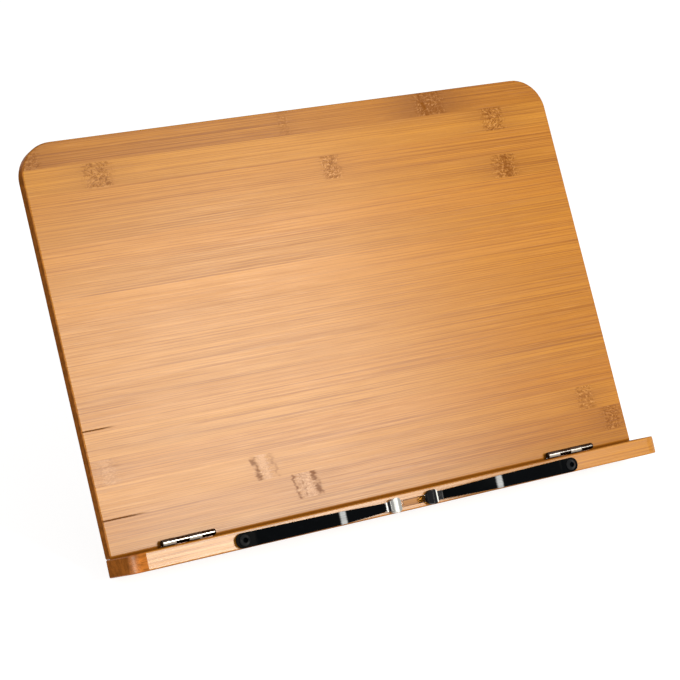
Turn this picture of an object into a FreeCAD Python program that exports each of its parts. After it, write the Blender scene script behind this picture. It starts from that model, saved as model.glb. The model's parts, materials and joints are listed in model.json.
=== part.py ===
import FreeCAD, Part
import math
import os
import Sketcher

# Book stand: a leaning board with a folding ledge, two page clips and a rear leg held by a wire stay.
# Millimetres. The table is Z = 0, +Y is behind the stand, and the origin is the middle of the footprint.

doc = FreeCAD.newDocument("BookStand")

# Driving sizes

SIZES = {
    "lean": 29,
    "droop": 2.5,
    "wood_round": 0.8,
    "glue_play": 0.05,
    "board_width": 340,
    "board_height": 229,
    "board_thick": 8,
    "board_corner": 19.5,
    "ledge_reach": 28.6,
    "ledge_thick": 10,
    "ledge_corner": 8,
    "groove_length": 44,
    "groove_height": 4,
    "groove_depth": 2.6,
    "barrel_radius": 1.85,
    "bore_radius": 1.35,
    "pin_play": 0.06,
    "turn_clear": 0.3,
    "hinge_length": 30.6,
    "stop_gap": 0.05,
    "pocket_play": 0.1,
    "knuckle_gap": 0.2,
    "leaf_thick": 0.5,
    "leaf_play": 0.05,
    "leaf_depth": 9.2,
    "leaf_screw_edge": 6.2,
    "pin_head": 0.6,
    "ledge_hinge_inset": 45.2,
    "screw_radius": 0.95,
    "screw_length": 7.5,
    "screw_point": 1.8,
    "screw_play": 0.05,
    "recess_length": 1.7,
    "recess_width": 0.45,
    "recess_depth": 0.35,
    "clip_tip_x": 11.9,
    "clip_pivot_drop": 5.6,
    "clip_reach": 93.3,
    "clip_thick": 1.2,
    "clip_root_half": 4.1,
    "clip_root_extra": 0.8,
    "clip_crest_half": 3.5,
    "clip_neck_half": 1.7,
    "clip_shoulder_half": 2.45,
    "clip_flat": 7,
    "clip_fall": 30.8,
    "clip_crest_up": 13.2,
    "clip_tip_flat": 7.5,
    "clip_tip_up": 1.2,
    "clip_bend": 7,
    "paddle_radius": 3,
    "cap_radius": 4.1,
    "cap_top": 4.3,
    "cap_play": 0.05,
    "cap_round": 0.7,
    "collar_half": 2.6,
    "collar_length": 2.2,
    "neck_taper": 1.5,
    "washer_radius": 3.6,
    "washer_thick": 0.8,
    "clip_screw_radius": 1.6,
    "clip_screw_length": 14,
    "clip_head_radius": 3.1,
    "clip_head_height": 1.9,
    "star_radius": 1.5,
    "star_waist_radius": 0.93,
    "star_depth": 1.1,
    "leg_open": 42,
    "leg_hinge_up": 176,
    "leg_width": 170,
    "leg_thick": 9,
    "leg_gap": 0.4,
    "leg_joint": 0.8,
    "leg_head": 22,
    "leg_hinge_inset": 43,
    "rail_width": 22,
    "foot_bar_thick": 4.4,
    "foot_bar_width": 22,
    "foot_bar_up": 3,
    "tenon_thick": 3,
    "tenon_length": 10,
    "tenon_shoulder": 4,
    "batten_width": 20,
    "notch_above_foot": 10.3,
    "notch_pitch": 13,
    "notch_count": 5,
    "notch_slope": 30,
    "notch_play": 0.3,
    "wire_radius": 2,
    "stay_up": 96,
    "stay_bend": 5,
    "stay_end": 15,
    "saddle_width": 12,
    "saddle_thick": 0.8,
    "saddle_play": 0.08,
    "saddle_wing": 10,
    "saddle_screw_out": 8.2,
}

# Places and sizes that follow from the driving ones

PLACES = {
    "board_tilt": "90 - Size.lean",
    "ledge_tilt": "Place.board_tilt + Size.droop",
    "leg_tilt": "Place.board_tilt + Size.leg_open",
    "hinge_gap": "2 * Size.leaf_thick + Size.leaf_play + Size.board_thick * tan(Size.droop)",
    "board_low": "Size.stop_gap + Size.board_thick * tan(Size.droop)",
    "axis_up": "Size.barrel_radius + Size.turn_clear",
    "axis_board_up": "Place.axis_up * (cos(Size.droop) - sin(Size.droop))",
    "axis_board_out": "Place.axis_up * (cos(Size.droop) + sin(Size.droop))",
    "heel_up": "Size.wood_round - Size.ledge_thick",
    "heel_out": "Size.wood_round - Size.board_thick",
    "heel_rise": "Place.heel_up * sin(Place.ledge_tilt) + Place.heel_out * cos(Place.ledge_tilt)",
    "base_y": "0",
    "base_z": "Size.wood_round - Place.heel_rise",
    "ledge_hinge_x": "Size.board_width / 2 - Size.ledge_hinge_inset",
    "leg_hinge_x": "Size.leg_width / 2 - Size.leg_hinge_inset",
    "leaf_hole_x": "Size.hinge_length / 2 - Size.leaf_screw_edge",
    "leaf_hole_back": "Place.axis_up + Size.board_thick / 2",
    "knuckle": "Size.hinge_length / 4",
    "clip_pivot_x": "Size.clip_tip_x + Size.clip_reach",
    "clip_tip_at": "Size.clip_reach - Size.clip_tip_flat",
    "clip_crest_at": "Place.clip_tip_at - Size.clip_fall",
    "arm_low": "Size.washer_thick",
    "arm_top": "Place.arm_low + Size.clip_thick",
    "collar_start": "Size.clip_reach - Size.cap_radius - Size.collar_length",
    "batten_thick": "Size.leg_thick + Size.leg_gap",
    "leg_axis_out": "0 - Size.board_thick - Place.batten_thick - Place.axis_up",
    "leg_outer": "Place.axis_up",
    "leg_inner": "Place.leg_outer + Size.leg_thick",
    "stay_out": "0 - Size.board_thick - Size.wire_radius - Size.turn_clear",
    "stay_half": "Size.leg_width / 2 + Size.stay_bend",
    "stay_tip": "Place.stay_half + Size.stay_bend + Size.stay_end",
    "saddle_x": "Place.stay_half + Size.stay_bend + Size.stay_end / 2",
    "wire_sunk": "Place.leg_outer + Size.wire_radius + Size.notch_play / 2",
    "notch_radius": "Size.wire_radius + Size.notch_play",
    "leg_axis_y": "Place.base_y + Size.leg_hinge_up * cos(Place.board_tilt)"
    " - Place.leg_axis_out * sin(Place.board_tilt)",
    "leg_axis_z": "Place.base_z + Size.leg_hinge_up * sin(Place.board_tilt)"
    " + Place.leg_axis_out * cos(Place.board_tilt)",
    "stay_axis_y": "Place.base_y + Size.stay_up * cos(Place.board_tilt)"
    " - Place.stay_out * sin(Place.board_tilt)",
    "stay_axis_z": "Place.base_z + Size.stay_up * sin(Place.board_tilt)"
    " + Place.stay_out * cos(Place.board_tilt)",
    "foot_outer": "(Place.leg_axis_z + Place.leg_outer * cos(Place.leg_tilt)) / sin(Place.leg_tilt)",
    "foot_inner": "(Place.leg_axis_z + Place.leg_inner * cos(Place.leg_tilt)) / sin(Place.leg_tilt)",
    "notch_down": "Place.foot_outer - Size.notch_above_foot",
    "notch_y": "Place.leg_axis_y - Place.notch_down * cos(Place.leg_tilt)"
    " - Place.wire_sunk * sin(Place.leg_tilt)",
    "notch_z": "Place.leg_axis_z - Place.notch_down * sin(Place.leg_tilt)"
    " + Place.wire_sunk * cos(Place.leg_tilt)",
    "stay_length": "hypot(Place.notch_y - Place.stay_axis_y; Place.notch_z - Place.stay_axis_z)",
    "stay_tilt": "atan2(Place.notch_z - Place.stay_axis_z; Place.notch_y - Place.stay_axis_y) / 1 deg",
    "pin_radius": "Size.bore_radius - Size.pin_play",
    "pilot_radius": "Size.screw_radius + Size.screw_play",
    "pilot_depth": "Size.screw_length - Size.leaf_thick + Size.leaf_play",
}


def fill(sheet, cells):
    """Writes each named value in its own aliased cell."""
    for row, (name, content) in enumerate(cells.items(), 1):
        sheet.set(f"A{row}", name)
        sheet.set(f"B{row}", content if isinstance(content, str) else str(content))
        sheet.setAlias(f"B{row}", name)


size = doc.addObject("Spreadsheet::Sheet", "Size")
fill(size, SIZES)
place = doc.addObject("Spreadsheet::Sheet", "Place")
fill(place, {name: "=" + formula for name, formula in PLACES.items()})
doc.recompute()


def value(expression):
    return float(place.evalExpression(str(expression)))


# The four frames: turn about X, and the place of the frame's origin. Each has its Y up along the piece
# and its Z out of the front, except that the wire stay's Y runs from its pivot to its crossbar.
FRAMES = {
    "board": ("Place.board_tilt", "Place.base_y", "Place.base_z"),
    "ledge": ("Place.ledge_tilt", "Place.base_y", "Place.base_z"),
    "leg": ("Place.leg_tilt", "Place.leg_axis_y", "Place.leg_axis_z"),
    "stay": ("Place.stay_tilt", "Place.stay_axis_y", "Place.stay_axis_z"),
}
nodes = []


def new_body(name, frame, x="0", up="0", out="0", turn="0"):
    """A body whose own frame lies at (x, up, out) of a named frame and is turned further about X."""
    tilt, y, z = FRAMES[frame]
    body = doc.addObject("PartDesign::Body", name)
    body.Label = name
    body.AllowCompound = True
    body.Placement = FreeCAD.Placement(FreeCAD.Vector(), FreeCAD.Rotation(FreeCAD.Vector(1, 0, 0), 1))
    body.setExpression(".Placement.Rotation.Angle", f"{tilt} + {turn}")
    body.setExpression(".Placement.Base.x", x)
    body.setExpression(".Placement.Base.y", f"{y} + ({up}) * cos({tilt}) - ({out}) * sin({tilt})")
    body.setExpression(".Placement.Base.z", f"{z} + ({up}) * sin({tilt}) + ({out}) * cos({tilt})")
    nodes.append(body)
    return body


def origin_part(body, role):
    return next(part for part in body.Origin.OriginFeatures if part.Role == role)


def new_sketch(body, plane, offset="0", across="0", along="0"):
    """A sketch on one of the body's own planes, moved along the plane's normal and within it."""
    sketch = body.newObject("Sketcher::SketchObject", body.Name + "_sketch")
    sketch.AttachmentSupport = (origin_part(body, plane + "_Plane"), [""])
    sketch.MapMode = "FlatFace"
    sketch.setExpression(".AttachmentOffset.Base.x", across)
    sketch.setExpression(".AttachmentOffset.Base.y", along)
    sketch.setExpression(".AttachmentOffset.Base.z", offset)
    return sketch


def bind(sketch, constraint, expression):
    number = sketch.addConstraint(constraint)
    sketch.setExpression(f"Constraints[{number}]", expression)


def pin(sketch, piece, point, x, y):
    """Ties a point to its two distances from the sketch's origin."""
    bind(sketch, Sketcher.Constraint("DistanceX", -1, 1, piece, point, value(x)), x)
    bind(sketch, Sketcher.Constraint("DistanceY", -1, 1, piece, point, value(y)), y)


def circle(sketch, x, y, radius):
    centre = FreeCAD.Vector(value(x), value(y), 0)
    piece = sketch.addGeometry(Part.Circle(centre, FreeCAD.Vector(0, 0, 1), value(radius)))
    pin(sketch, piece, 3, x, y)
    bind(sketch, Sketcher.Constraint("Radius", piece, value(radius)), radius)


def arc(sketch, start, end, step):
    """Adds an arc about the centre that the step names, and ties that centre across the arc's chord."""
    centre_x, centre_y, way = step[2:]
    centre = FreeCAD.Vector(value(centre_x), value(centre_y), 0)
    first, last = (start, end) if way > 0 else (end, start)
    begin = math.atan2(first.y - centre.y, first.x - centre.x)
    finish = math.atan2(last.y - centre.y, last.x - centre.x)
    if finish <= begin:
        finish += 2 * math.pi
    full = Part.Circle(centre, FreeCAD.Vector(0, 0, 1), (start - centre).Length)
    piece = sketch.addGeometry(Part.ArcOfCircle(full, begin, finish))
    level = abs(end.x - start.x) > abs(end.y - start.y)
    kind, expression = ("DistanceY", centre_y) if level else ("DistanceX", centre_x)
    bind(sketch, Sketcher.Constraint(kind, -1, 1, piece, 3, value(expression)), expression)
    return (piece, 1, 2) if way > 0 else (piece, 2, 1)


def draw(sketch, path, closed=True):
    """Draws lines and arcs through the points of a path. A point of five values ends an arc: they are
    its x and y, the arc's centre, and 1 where the arc runs counter-clockwise or -1 where it doesn't."""
    points = [FreeCAD.Vector(value(step[0]), value(step[1]), 0) for step in path]
    pieces = []
    for index in range(0 if closed else 1, len(path)):
        start, end = points[index - 1], points[index]
        if len(path[index]) == 2:
            pieces.append((sketch.addGeometry(Part.LineSegment(start, end)), 1, 2))
        else:
            pieces.append(arc(sketch, start, end, path[index]))
        piece, _, last = pieces[-1]
        pin(sketch, piece, last, *path[index][:2])
    if not closed:
        pin(sketch, pieces[0][0], pieces[0][1], *path[0][:2])
    for index in range(0 if closed else 1, len(pieces)):
        before, after = pieces[index - 1], pieces[index]
        sketch.addConstraint(Sketcher.Constraint("Coincident", before[0], before[2], after[0], after[1]))


def box(sketch, x_low, x_high, y_low, y_high):
    draw(sketch, [(x_low, y_low), (x_high, y_low), (x_high, y_high), (x_low, y_high)])


def settle(body, feature, volume, grows):
    """Rebuilds the body and makes sure that the new feature added or removed material."""
    doc.recompute()
    change = body.Shape.Volume - volume
    if not feature.isValid() or (change if grows else -change) < 1e-6:
        raise RuntimeError(f"{feature.Name} in {body.Label} changed the volume by {change:.6f}")
    return feature


def volume_of(body):
    return 0 if body.Shape.isNull() else body.Shape.Volume


def add(body, sketch, length, both=False, back=False):
    before = volume_of(body)
    pad = body.newObject("PartDesign::Pad", body.Name + "_pad")
    pad.Profile = sketch
    pad.setExpression("Length", length)
    pad.SideType = "Symmetric" if both else "One side"
    pad.Reversed = back
    return settle(body, pad, before, True)


def cut(body, sketch, depth=None, both=False, back=False):
    """Cuts to a depth, or right through where none is given."""
    before = volume_of(body)
    pocket = body.newObject("PartDesign::Pocket", body.Name + "_cut")
    pocket.Profile = sketch
    pocket.SideType = "Symmetric" if both else "One side"
    pocket.Reversed = back
    if depth is None:
        pocket.Type = "ThroughAll"
    else:
        pocket.setExpression("Length", depth)
    return settle(body, pocket, before, False)


def spin(body, sketch, kind="Revolution"):
    """Turns a sketch about its own vertical axis, as material or as a Groove."""
    before = volume_of(body)
    feature = body.newObject("PartDesign::" + kind, body.Name + "_" + kind.lower())
    feature.Profile = sketch
    feature.ReferenceAxis = (sketch, ["V_Axis"])
    feature.Angle = 360
    return settle(body, feature, before, kind == "Revolution")


def repeat(body, originals, steps):
    """Copies features along an axis and across a plane. A step is an axis, a length and a count, or a
    plane alone."""
    before = volume_of(body)
    moves = []
    for step in steps:
        if len(step) == 1:
            move = body.newObject("PartDesign::Mirrored", body.Name + "_mirror")
            move.MirrorPlane = (origin_part(body, step[0] + "_Plane"), [""])
        else:
            move = body.newObject("PartDesign::LinearPattern", body.Name + "_row")
            move.Direction = (origin_part(body, step[0] + "_Axis"), [""])
            move.setExpression("Length", step[1])
            move.Occurrences = int(value(step[2]))
        moves.append(move)
    pattern = body.newObject("PartDesign::MultiTransform", body.Name + "_pattern")
    pattern.Originals = originals
    pattern.Transformations = moves
    body.Tip = pattern
    return settle(body, pattern, before, originals[0].TypeId.endswith("Revolution"))


def round_edges(body, radius, wanted):
    """Rounds the edges of the body's last feature for which wanted(edge) is true."""
    base = body.Tip
    names = [f"Edge{number}" for number, edge in enumerate(base.Shape.Edges, 1) if wanted(edge)]
    fillet = body.newObject("PartDesign::Fillet", body.Name + "_round")
    fillet.Base = (base, names)
    fillet.setExpression("Radius", radius)
    doc.recompute()
    if not names or not fillet.isValid():
        raise RuntimeError(f"{body.Label} has no edge to round, or the rounding failed")
    return fillet


def lies(edge, **levels):
    """True where the whole edge lies at the given x, y or z."""
    span = edge.BoundBox
    ends = {"x": (span.XMin, span.XMax), "y": (span.YMin, span.YMax), "z": (span.ZMin, span.ZMax)}
    return all(abs(end - value(level)) < 0.01 for axis, level in levels.items() for end in ends[axis])


# Board

def make_board():
    body = new_body("board", "board")
    half, low, corner = "Size.board_width / 2", "Place.board_low", "Size.board_corner"
    top = "Place.board_low + Size.board_height"
    face = new_sketch(body, "XY")
    draw(face, [
        (f"-{half}", low),
        (half, low),
        (half, f"{top} - {corner}"),
        (f"{half} - {corner}", top, f"{half} - {corner}", f"{top} - {corner}", 1),
        (f"{corner} - {half}", top),
        (f"-{half}", f"{top} - {corner}", f"{corner} - {half}", f"{top} - {corner}", 1),
    ])
    add(body, face, "Size.board_thick", back=True)
    round_edges(body, "Size.wood_round", lambda edge: (
        lies(edge, z="0")
        or lies(edge, z="-Size.board_thick")
        or lies(edge, y=low, x=half)
        or lies(edge, y=low, x=f"-{half}")
    ))
    pocket = new_sketch(body, "XY")
    for way in (-1, 1):
        near, far = (f"{way} * Place.ledge_hinge_x + {end} * (Size.hinge_length / 2 + Size.pocket_play)"
                     for end in (-1, 1))
        box(pocket, near, far, f"{low} - Size.wood_round", "Place.hinge_gap")
    cut(body, pocket, both=True)
    pilots = new_sketch(body, "XZ", offset="0 - Place.hinge_gap")
    hinge_pilots(pilots, "Place.ledge_hinge_x", "Place.axis_board_out - Place.leaf_hole_back")
    cut(body, pilots, "Place.pilot_depth")
    saddle_pilots = new_sketch(body, "XY", offset="-Size.board_thick")
    for way in (-1, 1):
        for step in (-1, 1):
            up = f"Size.stay_up + {step} * Size.saddle_screw_out"
            circle(saddle_pilots, f"{way} * Place.saddle_x", up, "Place.pilot_radius")
    cut(body, saddle_pilots, "Size.screw_length - Size.saddle_thick + Size.screw_play", back=True)


def hinge_pilots(sketch, hinge_x, along):
    """Four pilot holes for the screws of a pair of hinge leaves."""
    for way in (-1, 1):
        for step in (-1, 1):
            circle(sketch, f"{way} * ({hinge_x}) + {step} * Place.leaf_hole_x", along, "Place.pilot_radius")


# Ledge

def make_ledge():
    body = new_body("ledge", "ledge")
    half, corner, reach = "Size.board_width / 2", "Size.ledge_corner", "Size.ledge_reach"
    plan = new_sketch(body, "XZ")
    draw(plan, [
        (f"-{half}", "-Size.board_thick"),
        (half, "-Size.board_thick"),
        (half, f"{reach} - {corner}"),
        (f"{half} - {corner}", reach, f"{half} - {corner}", f"{reach} - {corner}", 1),
        (f"{corner} - {half}", reach),
        (f"-{half}", f"{reach} - {corner}", f"{corner} - {half}", f"{reach} - {corner}", 1),
    ])
    add(body, plan, "Size.ledge_thick")
    round_edges(body, "Size.wood_round", lambda edge: (
        lies(edge, y="0")
        or lies(edge, y="-Size.ledge_thick")
        or lies(edge, z="-Size.board_thick", x=half)
        or lies(edge, z="-Size.board_thick", x=f"-{half}")
    ))
    groove = new_sketch(body, "XY", offset=reach, along="-Size.clip_pivot_drop")
    tall, wide = "Size.groove_height / 2", "Size.groove_length / 2"
    draw(groove, [
        (f"{tall} - {wide}", f"-{tall}", f"{tall} - {wide}", "0", 1),
        (f"{wide} - {tall}", f"-{tall}"),
        (f"{wide} - {tall}", tall, f"{wide} - {tall}", "0", 1),
        (f"{tall} - {wide}", tall),
    ])
    cut(body, groove, "Size.groove_depth")
    screws = new_sketch(body, "XY", offset=reach)
    for way in (-1, 1):
        circle(screws, f"{way} * Place.clip_pivot_x", "-Size.clip_pivot_drop",
               "Size.clip_screw_radius + Size.screw_play")
    cut(body, screws, "Size.clip_screw_length - Place.arm_top + Size.screw_play")
    pilots = new_sketch(body, "XZ")
    hinge_pilots(pilots, "Place.ledge_hinge_x", "Place.axis_up - Place.leaf_hole_back")
    cut(body, pilots, "Place.pilot_depth", back=True)


# Butt hinges

def hinge_leaf(name, frame, x, up, out, turn, low, side, owned, head_low=False):
    """A leaf with two of the four knuckles. Its own X is the hinge's axis, its plate's faces lie at Y = low
    and low + thickness, and it reaches along Z to the given side."""
    body = new_body(name, frame, x, up, out, turn)
    start = "-Size.hinge_length / 2"
    plate = new_sketch(body, "YZ", offset=start)
    high = f"{low} + Size.leaf_thick"
    far = f"{side} * Size.leaf_depth"
    box(plate, low, high, "0" if side > 0 else far, far if side > 0 else "0")
    add(body, plate, "Size.hinge_length")
    round_edges(body, "Size.leaf_thick", lambda edge: (
        lies(edge, z=far, x=start) or lies(edge, z=far, x="Size.hinge_length / 2")
    ))
    barrel = new_sketch(body, "YZ", offset=start)
    circle(barrel, "0", "0", "Size.barrel_radius")
    add(body, barrel, "Size.hinge_length")
    bore = new_sketch(body, "YZ", offset=start)
    circle(bore, "0", "0", "Size.bore_radius")
    cut(body, bore, "Size.hinge_length", back=True)
    gaps = new_sketch(body, "XZ")
    for knuckle in range(4):
        if knuckle not in owned:
            left = f"{start} + {knuckle} * Place.knuckle - Size.knuckle_gap / 2"
            right = f"{start} + {knuckle + 1} * Place.knuckle + Size.knuckle_gap / 2"
            box(gaps, left, right, "-Place.axis_up", "Place.axis_up")
    cut(body, gaps, both=True)
    back = f"{side} * Place.leaf_hole_back"
    for step in (-1, 1):
        hole = new_sketch(body, "XY", offset=back, across=f"{step} * Place.leaf_hole_x")
        narrow, wide = "Place.pilot_radius", "Place.pilot_radius + Size.leaf_thick"
        bottom, top = (wide, narrow) if head_low else (narrow, wide)
        draw(hole, [("0", low), (bottom, low), (top, high), ("0", high)])
        spin(body, hole, "Groove")


def hinge_pin(name, frame, x, up, out):
    body = new_body(name, frame, x, up, out)
    shank = new_sketch(body, "YZ")
    circle(shank, "0", "0", "Place.pin_radius")
    add(body, shank, "Size.hinge_length + 2 * Size.knuckle_gap", both=True)
    head_at = "Size.hinge_length / 2 + Size.knuckle_gap"
    for way in (-1, 1):
        head = new_sketch(body, "YZ", offset=f"{way} * ({head_at})")
        circle(head, "0", "0", "Size.bore_radius + Size.turn_clear")
        add(body, head, "Size.pin_head", back=way < 0)
        end = f"{way} * ({head_at} + Size.pin_head)"
        round_edges(body, "Size.pin_head / 2", lambda edge: lies(edge, x=end))


def make_hinges():
    for side, sign in (("left", "-"), ("right", "")):
        x = f"{sign}Place.ledge_hinge_x"
        board_low = "Place.hinge_gap - Size.leaf_thick - Place.axis_board_up"
        hinge_leaf(f"ledge_hinge_{side}_board_leaf", "board", x, "Place.axis_board_up",
                   "Place.axis_board_out", "0", board_low, -1, (1, 3), head_low=True)
        hinge_leaf(f"ledge_hinge_{side}_ledge_leaf", "ledge", x, "Place.axis_up", "Place.axis_up",
                   "0", "-Place.axis_up", -1, (0, 2))
        hinge_pin(f"ledge_hinge_{side}_pin", "board", x, "Place.axis_board_up", "Place.axis_board_out")
        x = f"{sign}Place.leg_hinge_x"
        hinge_leaf(f"leg_hinge_{side}_batten_leaf", "board", x, "Size.leg_hinge_up", "Place.leg_axis_out",
                   "-90", "-Place.axis_up", 1, (1, 3))
        hinge_leaf(f"leg_hinge_{side}_leg_leaf", "leg", x, "0", "0", "-90", "-Place.axis_up", -1, (0, 2))
        hinge_pin(f"leg_hinge_{side}_pin", "board", x, "Size.leg_hinge_up", "Place.leg_axis_out")


# Countersunk screws of the hinges and the saddles

def screws(name, frame, up, out, turn, first_x, sheet, steps):
    """A set of equal screws. The first one's head is level with Y = 0 at first_x and it points down Y."""
    body = new_body(name, frame, "0", up, out, turn)
    half = new_sketch(body, "XY", across=first_x)
    shank, head = "Size.screw_radius", f"Size.screw_radius + {sheet}"
    draw(half, [
        ("0", "-Size.screw_length"),
        (shank, "Size.screw_point - Size.screw_length"),
        (shank, f"-{sheet}"),
        (head, "0"),
        ("0", "0"),
    ])
    turned = spin(body, half)
    recess = new_sketch(body, "XZ", across=first_x)
    long, thin = "Size.recess_length / 2", "Size.recess_width / 2"
    cross = [(long, thin), (thin, thin), (thin, long)]
    path = []
    for turn_x, turn_y, swap in ((1, 1, False), (-1, 1, True), (-1, -1, False), (1, -1, True)):
        corner = [(f"{turn_x} * {x}", f"{turn_y} * {y}") for x, y in cross]
        path += corner[::-1] if swap else corner
    draw(recess, path)
    socket = cut(body, recess, "Size.recess_depth", back=True)
    repeat(body, [turned, socket], steps)


def make_screws():
    pair = ("X", "2 * Place.leaf_hole_x", "2")
    first = "Place.ledge_hinge_x - Place.leaf_hole_x"
    screws("ledge_hinge_board_screws", "board", "Place.hinge_gap - Size.leaf_thick",
           "Place.axis_board_out - Place.leaf_hole_back", "180", first, "Size.leaf_thick", [pair, ("YZ",)])
    screws("ledge_hinge_ledge_screws", "ledge", "Size.leaf_thick",
           "Place.axis_up - Place.leaf_hole_back", "0", first, "Size.leaf_thick", [pair, ("YZ",)])
    first = "Place.leg_hinge_x - Place.leaf_hole_x"
    screws("leg_hinge_batten_screws", "board", "Size.leg_hinge_up + Place.leaf_hole_back",
           "Place.leg_axis_out + Place.axis_up - Size.leaf_thick", "-90", first, "Size.leaf_thick",
           [pair, ("YZ",)])
    screws("leg_hinge_leg_screws", "leg", "-Place.leaf_hole_back", "Place.leg_outer - Size.leaf_thick",
           "-90", first, "Size.leaf_thick", [pair, ("YZ",)])
    screws("stay_saddle_screws", "board", "Size.stay_up - Size.saddle_screw_out",
           "-Size.board_thick - Size.saddle_thick", "-90", "Place.saddle_x", "Size.saddle_thick",
           [("Z", "2 * Size.saddle_screw_out", "2"), ("YZ",)])


# Page clips

def clip_pivot(way):
    """The place of a clip's screw in the ledge's frame."""
    return f"{-way} * Place.clip_pivot_x", "-Size.clip_pivot_drop", "Size.ledge_reach"


def clip_arm(name, way):
    """A bowed steel arm that points inwards from its screw and ends in a small round paddle."""
    body = new_body(name, "ledge", *clip_pivot(way))
    thick, flat = "Size.clip_thick", "Size.clip_flat"
    crest, tip, reach = "Place.clip_crest_at", "Place.clip_tip_at", "Size.clip_reach"
    blank_start, blank_end = "-2 * Size.clip_root_half", f"{reach} + 2 * Size.paddle_radius"
    low = [(blank_start, "Place.arm_low"), (flat, "Place.arm_low"), (crest, f"Size.clip_crest_up - {thick}"),
           (tip, "Size.clip_tip_up"), (blank_end, "Size.clip_tip_up")]
    high = [(x, f"{z} + {thick}") for x, z in low]
    strip = new_sketch(body, "XZ")
    draw(strip, [(f"{way} * ({x})", z) for x, z in low + high[::-1]])
    add(body, strip, "3 * Size.clip_root_half", both=True)
    tight = (high[1], low[2], high[3])
    loose = (low[1], high[2], low[3])
    for radius, bends in (("Size.clip_bend", tight), (f"Size.clip_bend + {thick}", loose)):
        round_edges(body, radius, lambda edge: any(lies(edge, x=f"{way} * ({x})", z=z) for x, z in bends))
    root, shoulder, neck = "Size.clip_root_half", "Size.clip_shoulder_half", "Size.clip_neck_half"
    paddle_start = f"{reach} - sqrt(pow(Size.paddle_radius; 2) - pow({neck}; 2))"
    edge = [("-Size.clip_root_extra", root), (crest, "Size.clip_crest_half"),
            ("Place.collar_start - Size.neck_taper", shoulder), ("Place.collar_start - Size.cap_play", neck),
            (paddle_start, neck)]
    path = [(f"{way} * ({x})", f"-({y})") for x, y in edge]
    path += [(f"{way} * ({paddle_start})", neck, f"{way} * {reach}", "0", way)]
    path += [(f"{way} * ({x})", y) for x, y in edge[-2::-1]]
    last_x, last_y = path[0]
    path[0] = (last_x, last_y, f"{-way} * Size.clip_root_extra", "0", way)
    plan = new_sketch(body, "XY")
    draw(plan, path)
    wide = "4 * Size.clip_root_half"
    ends = [f"{way} * 2 * ({blank_start})", f"{way} * 2 * ({blank_end})"]
    box(plan, *(ends if way > 0 else ends[::-1]), f"-{wide}", wide)
    cut(body, plan, both=True)
    hole = new_sketch(body, "XY")
    circle(hole, "0", "0", "Size.clip_screw_radius + Size.screw_play")
    cut(body, hole, both=True)


def clip_cap(name, way):
    """A clear cap over the arm's paddle: rounded about its upright axis, round seen from the front."""
    body = new_body(name, "ledge", *clip_pivot(way))
    reach, round_, play = "Size.clip_reach", "Size.cap_radius", "Size.cap_play"
    paddle_low = "Size.clip_tip_up"
    rise = f"(Size.cap_top - {paddle_low})"
    bow = f"((pow({round_}; 2) + pow({rise}; 2)) / (2 * {rise}))"
    side = new_sketch(body, "XZ")
    draw(side, [
        (f"{way} * {reach} - {round_}", "Size.turn_clear"),
        (f"{way} * {reach} + {round_}", "Size.turn_clear"),
        (f"{way} * {reach} + {round_}", paddle_low),
        (f"{way} * {reach} - {round_}", paddle_low, f"{way} * {reach}", f"Size.cap_top - {bow}", 1),
    ])
    add(body, side, f"2 * {round_}", both=True)
    plan = new_sketch(body, "XY")
    circle(plan, f"{way} * {reach}", "0", round_)
    box(plan, f"{way} * {reach} - 2 * {round_}", f"{way} * {reach} + 2 * {round_}", f"-2 * {round_}",
        f"2 * {round_}")
    cut(body, plan, both=True)
    collar = new_sketch(body, "XY", offset=f"{paddle_low} - Size.cap_round")
    ends = [f"{way} * Place.collar_start", f"{way} * ({reach} - {round_} / 2)"]
    box(collar, *(ends if way > 0 else ends[::-1]), "-Size.collar_half", "Size.collar_half")
    add(body, collar, "Size.clip_thick + 2 * Size.cap_round")
    neck = f"Size.clip_neck_half + {play}"
    paddle = f"(Size.paddle_radius + {play})"
    meet = f"{reach} - sqrt(pow({paddle}; 2) - pow({neck}; 2))"
    cavity = new_sketch(body, "XY", offset=f"{paddle_low} - {play}")
    mouth = f"{way} * (Place.collar_start - Size.collar_length)"
    draw(cavity, [
        (mouth, neck),
        (mouth, f"-({neck})"),
        (f"{way} * ({meet})", f"-({neck})"),
        (f"{way} * ({meet})", neck, f"{way} * {reach}", "0", way),
    ])
    cut(body, cavity, f"Size.clip_thick + 2 * {play}", back=True)


def clip_fixings(side, way):
    washer = new_body(f"clip_{side}_washer", "ledge", *clip_pivot(way))
    ring = new_sketch(washer, "XY")
    circle(ring, "0", "0", "Size.washer_radius")
    circle(ring, "0", "0", "Size.clip_screw_radius + Size.screw_play")
    add(washer, ring, "Size.washer_thick")
    screw = new_body(f"clip_{side}_screw", "ledge", *clip_pivot(way))
    seat, head, rise = "Place.arm_top", "Size.clip_head_radius", "Size.clip_head_height"
    bow = f"((pow({head}; 2) + pow({rise}; 2)) / (2 * {rise}))"
    half = new_sketch(screw, "XZ")
    draw(half, [
        ("0", f"{seat} - Size.clip_screw_length"),
        ("Size.clip_screw_radius", f"{seat} - Size.clip_screw_length + Size.screw_point"),
        ("Size.clip_screw_radius", seat),
        (head, seat),
        ("0", f"{seat} + {rise}", "0", f"{seat} + {rise} - {bow}", 1),
    ])
    spin(screw, half)
    star = new_sketch(screw, "XY", offset=f"{seat} + {rise}")
    points = []
    for point in range(0, 360, 60):
        for radius, angle in (("Size.star_radius", point), ("Size.star_waist_radius", point + 30)):
            points.append((f"{radius} * cos({angle})", f"{radius} * sin({angle})"))
    draw(star, points)
    cut(screw, star, "Size.star_depth")


def make_clips():
    for side, way in (("left", 1), ("right", -1)):
        clip_arm(f"clip_{side}_arm", way)
        clip_cap(f"clip_{side}_cap", way)
        clip_fixings(side, way)


# Rear leg and the batten that carries it

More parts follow.
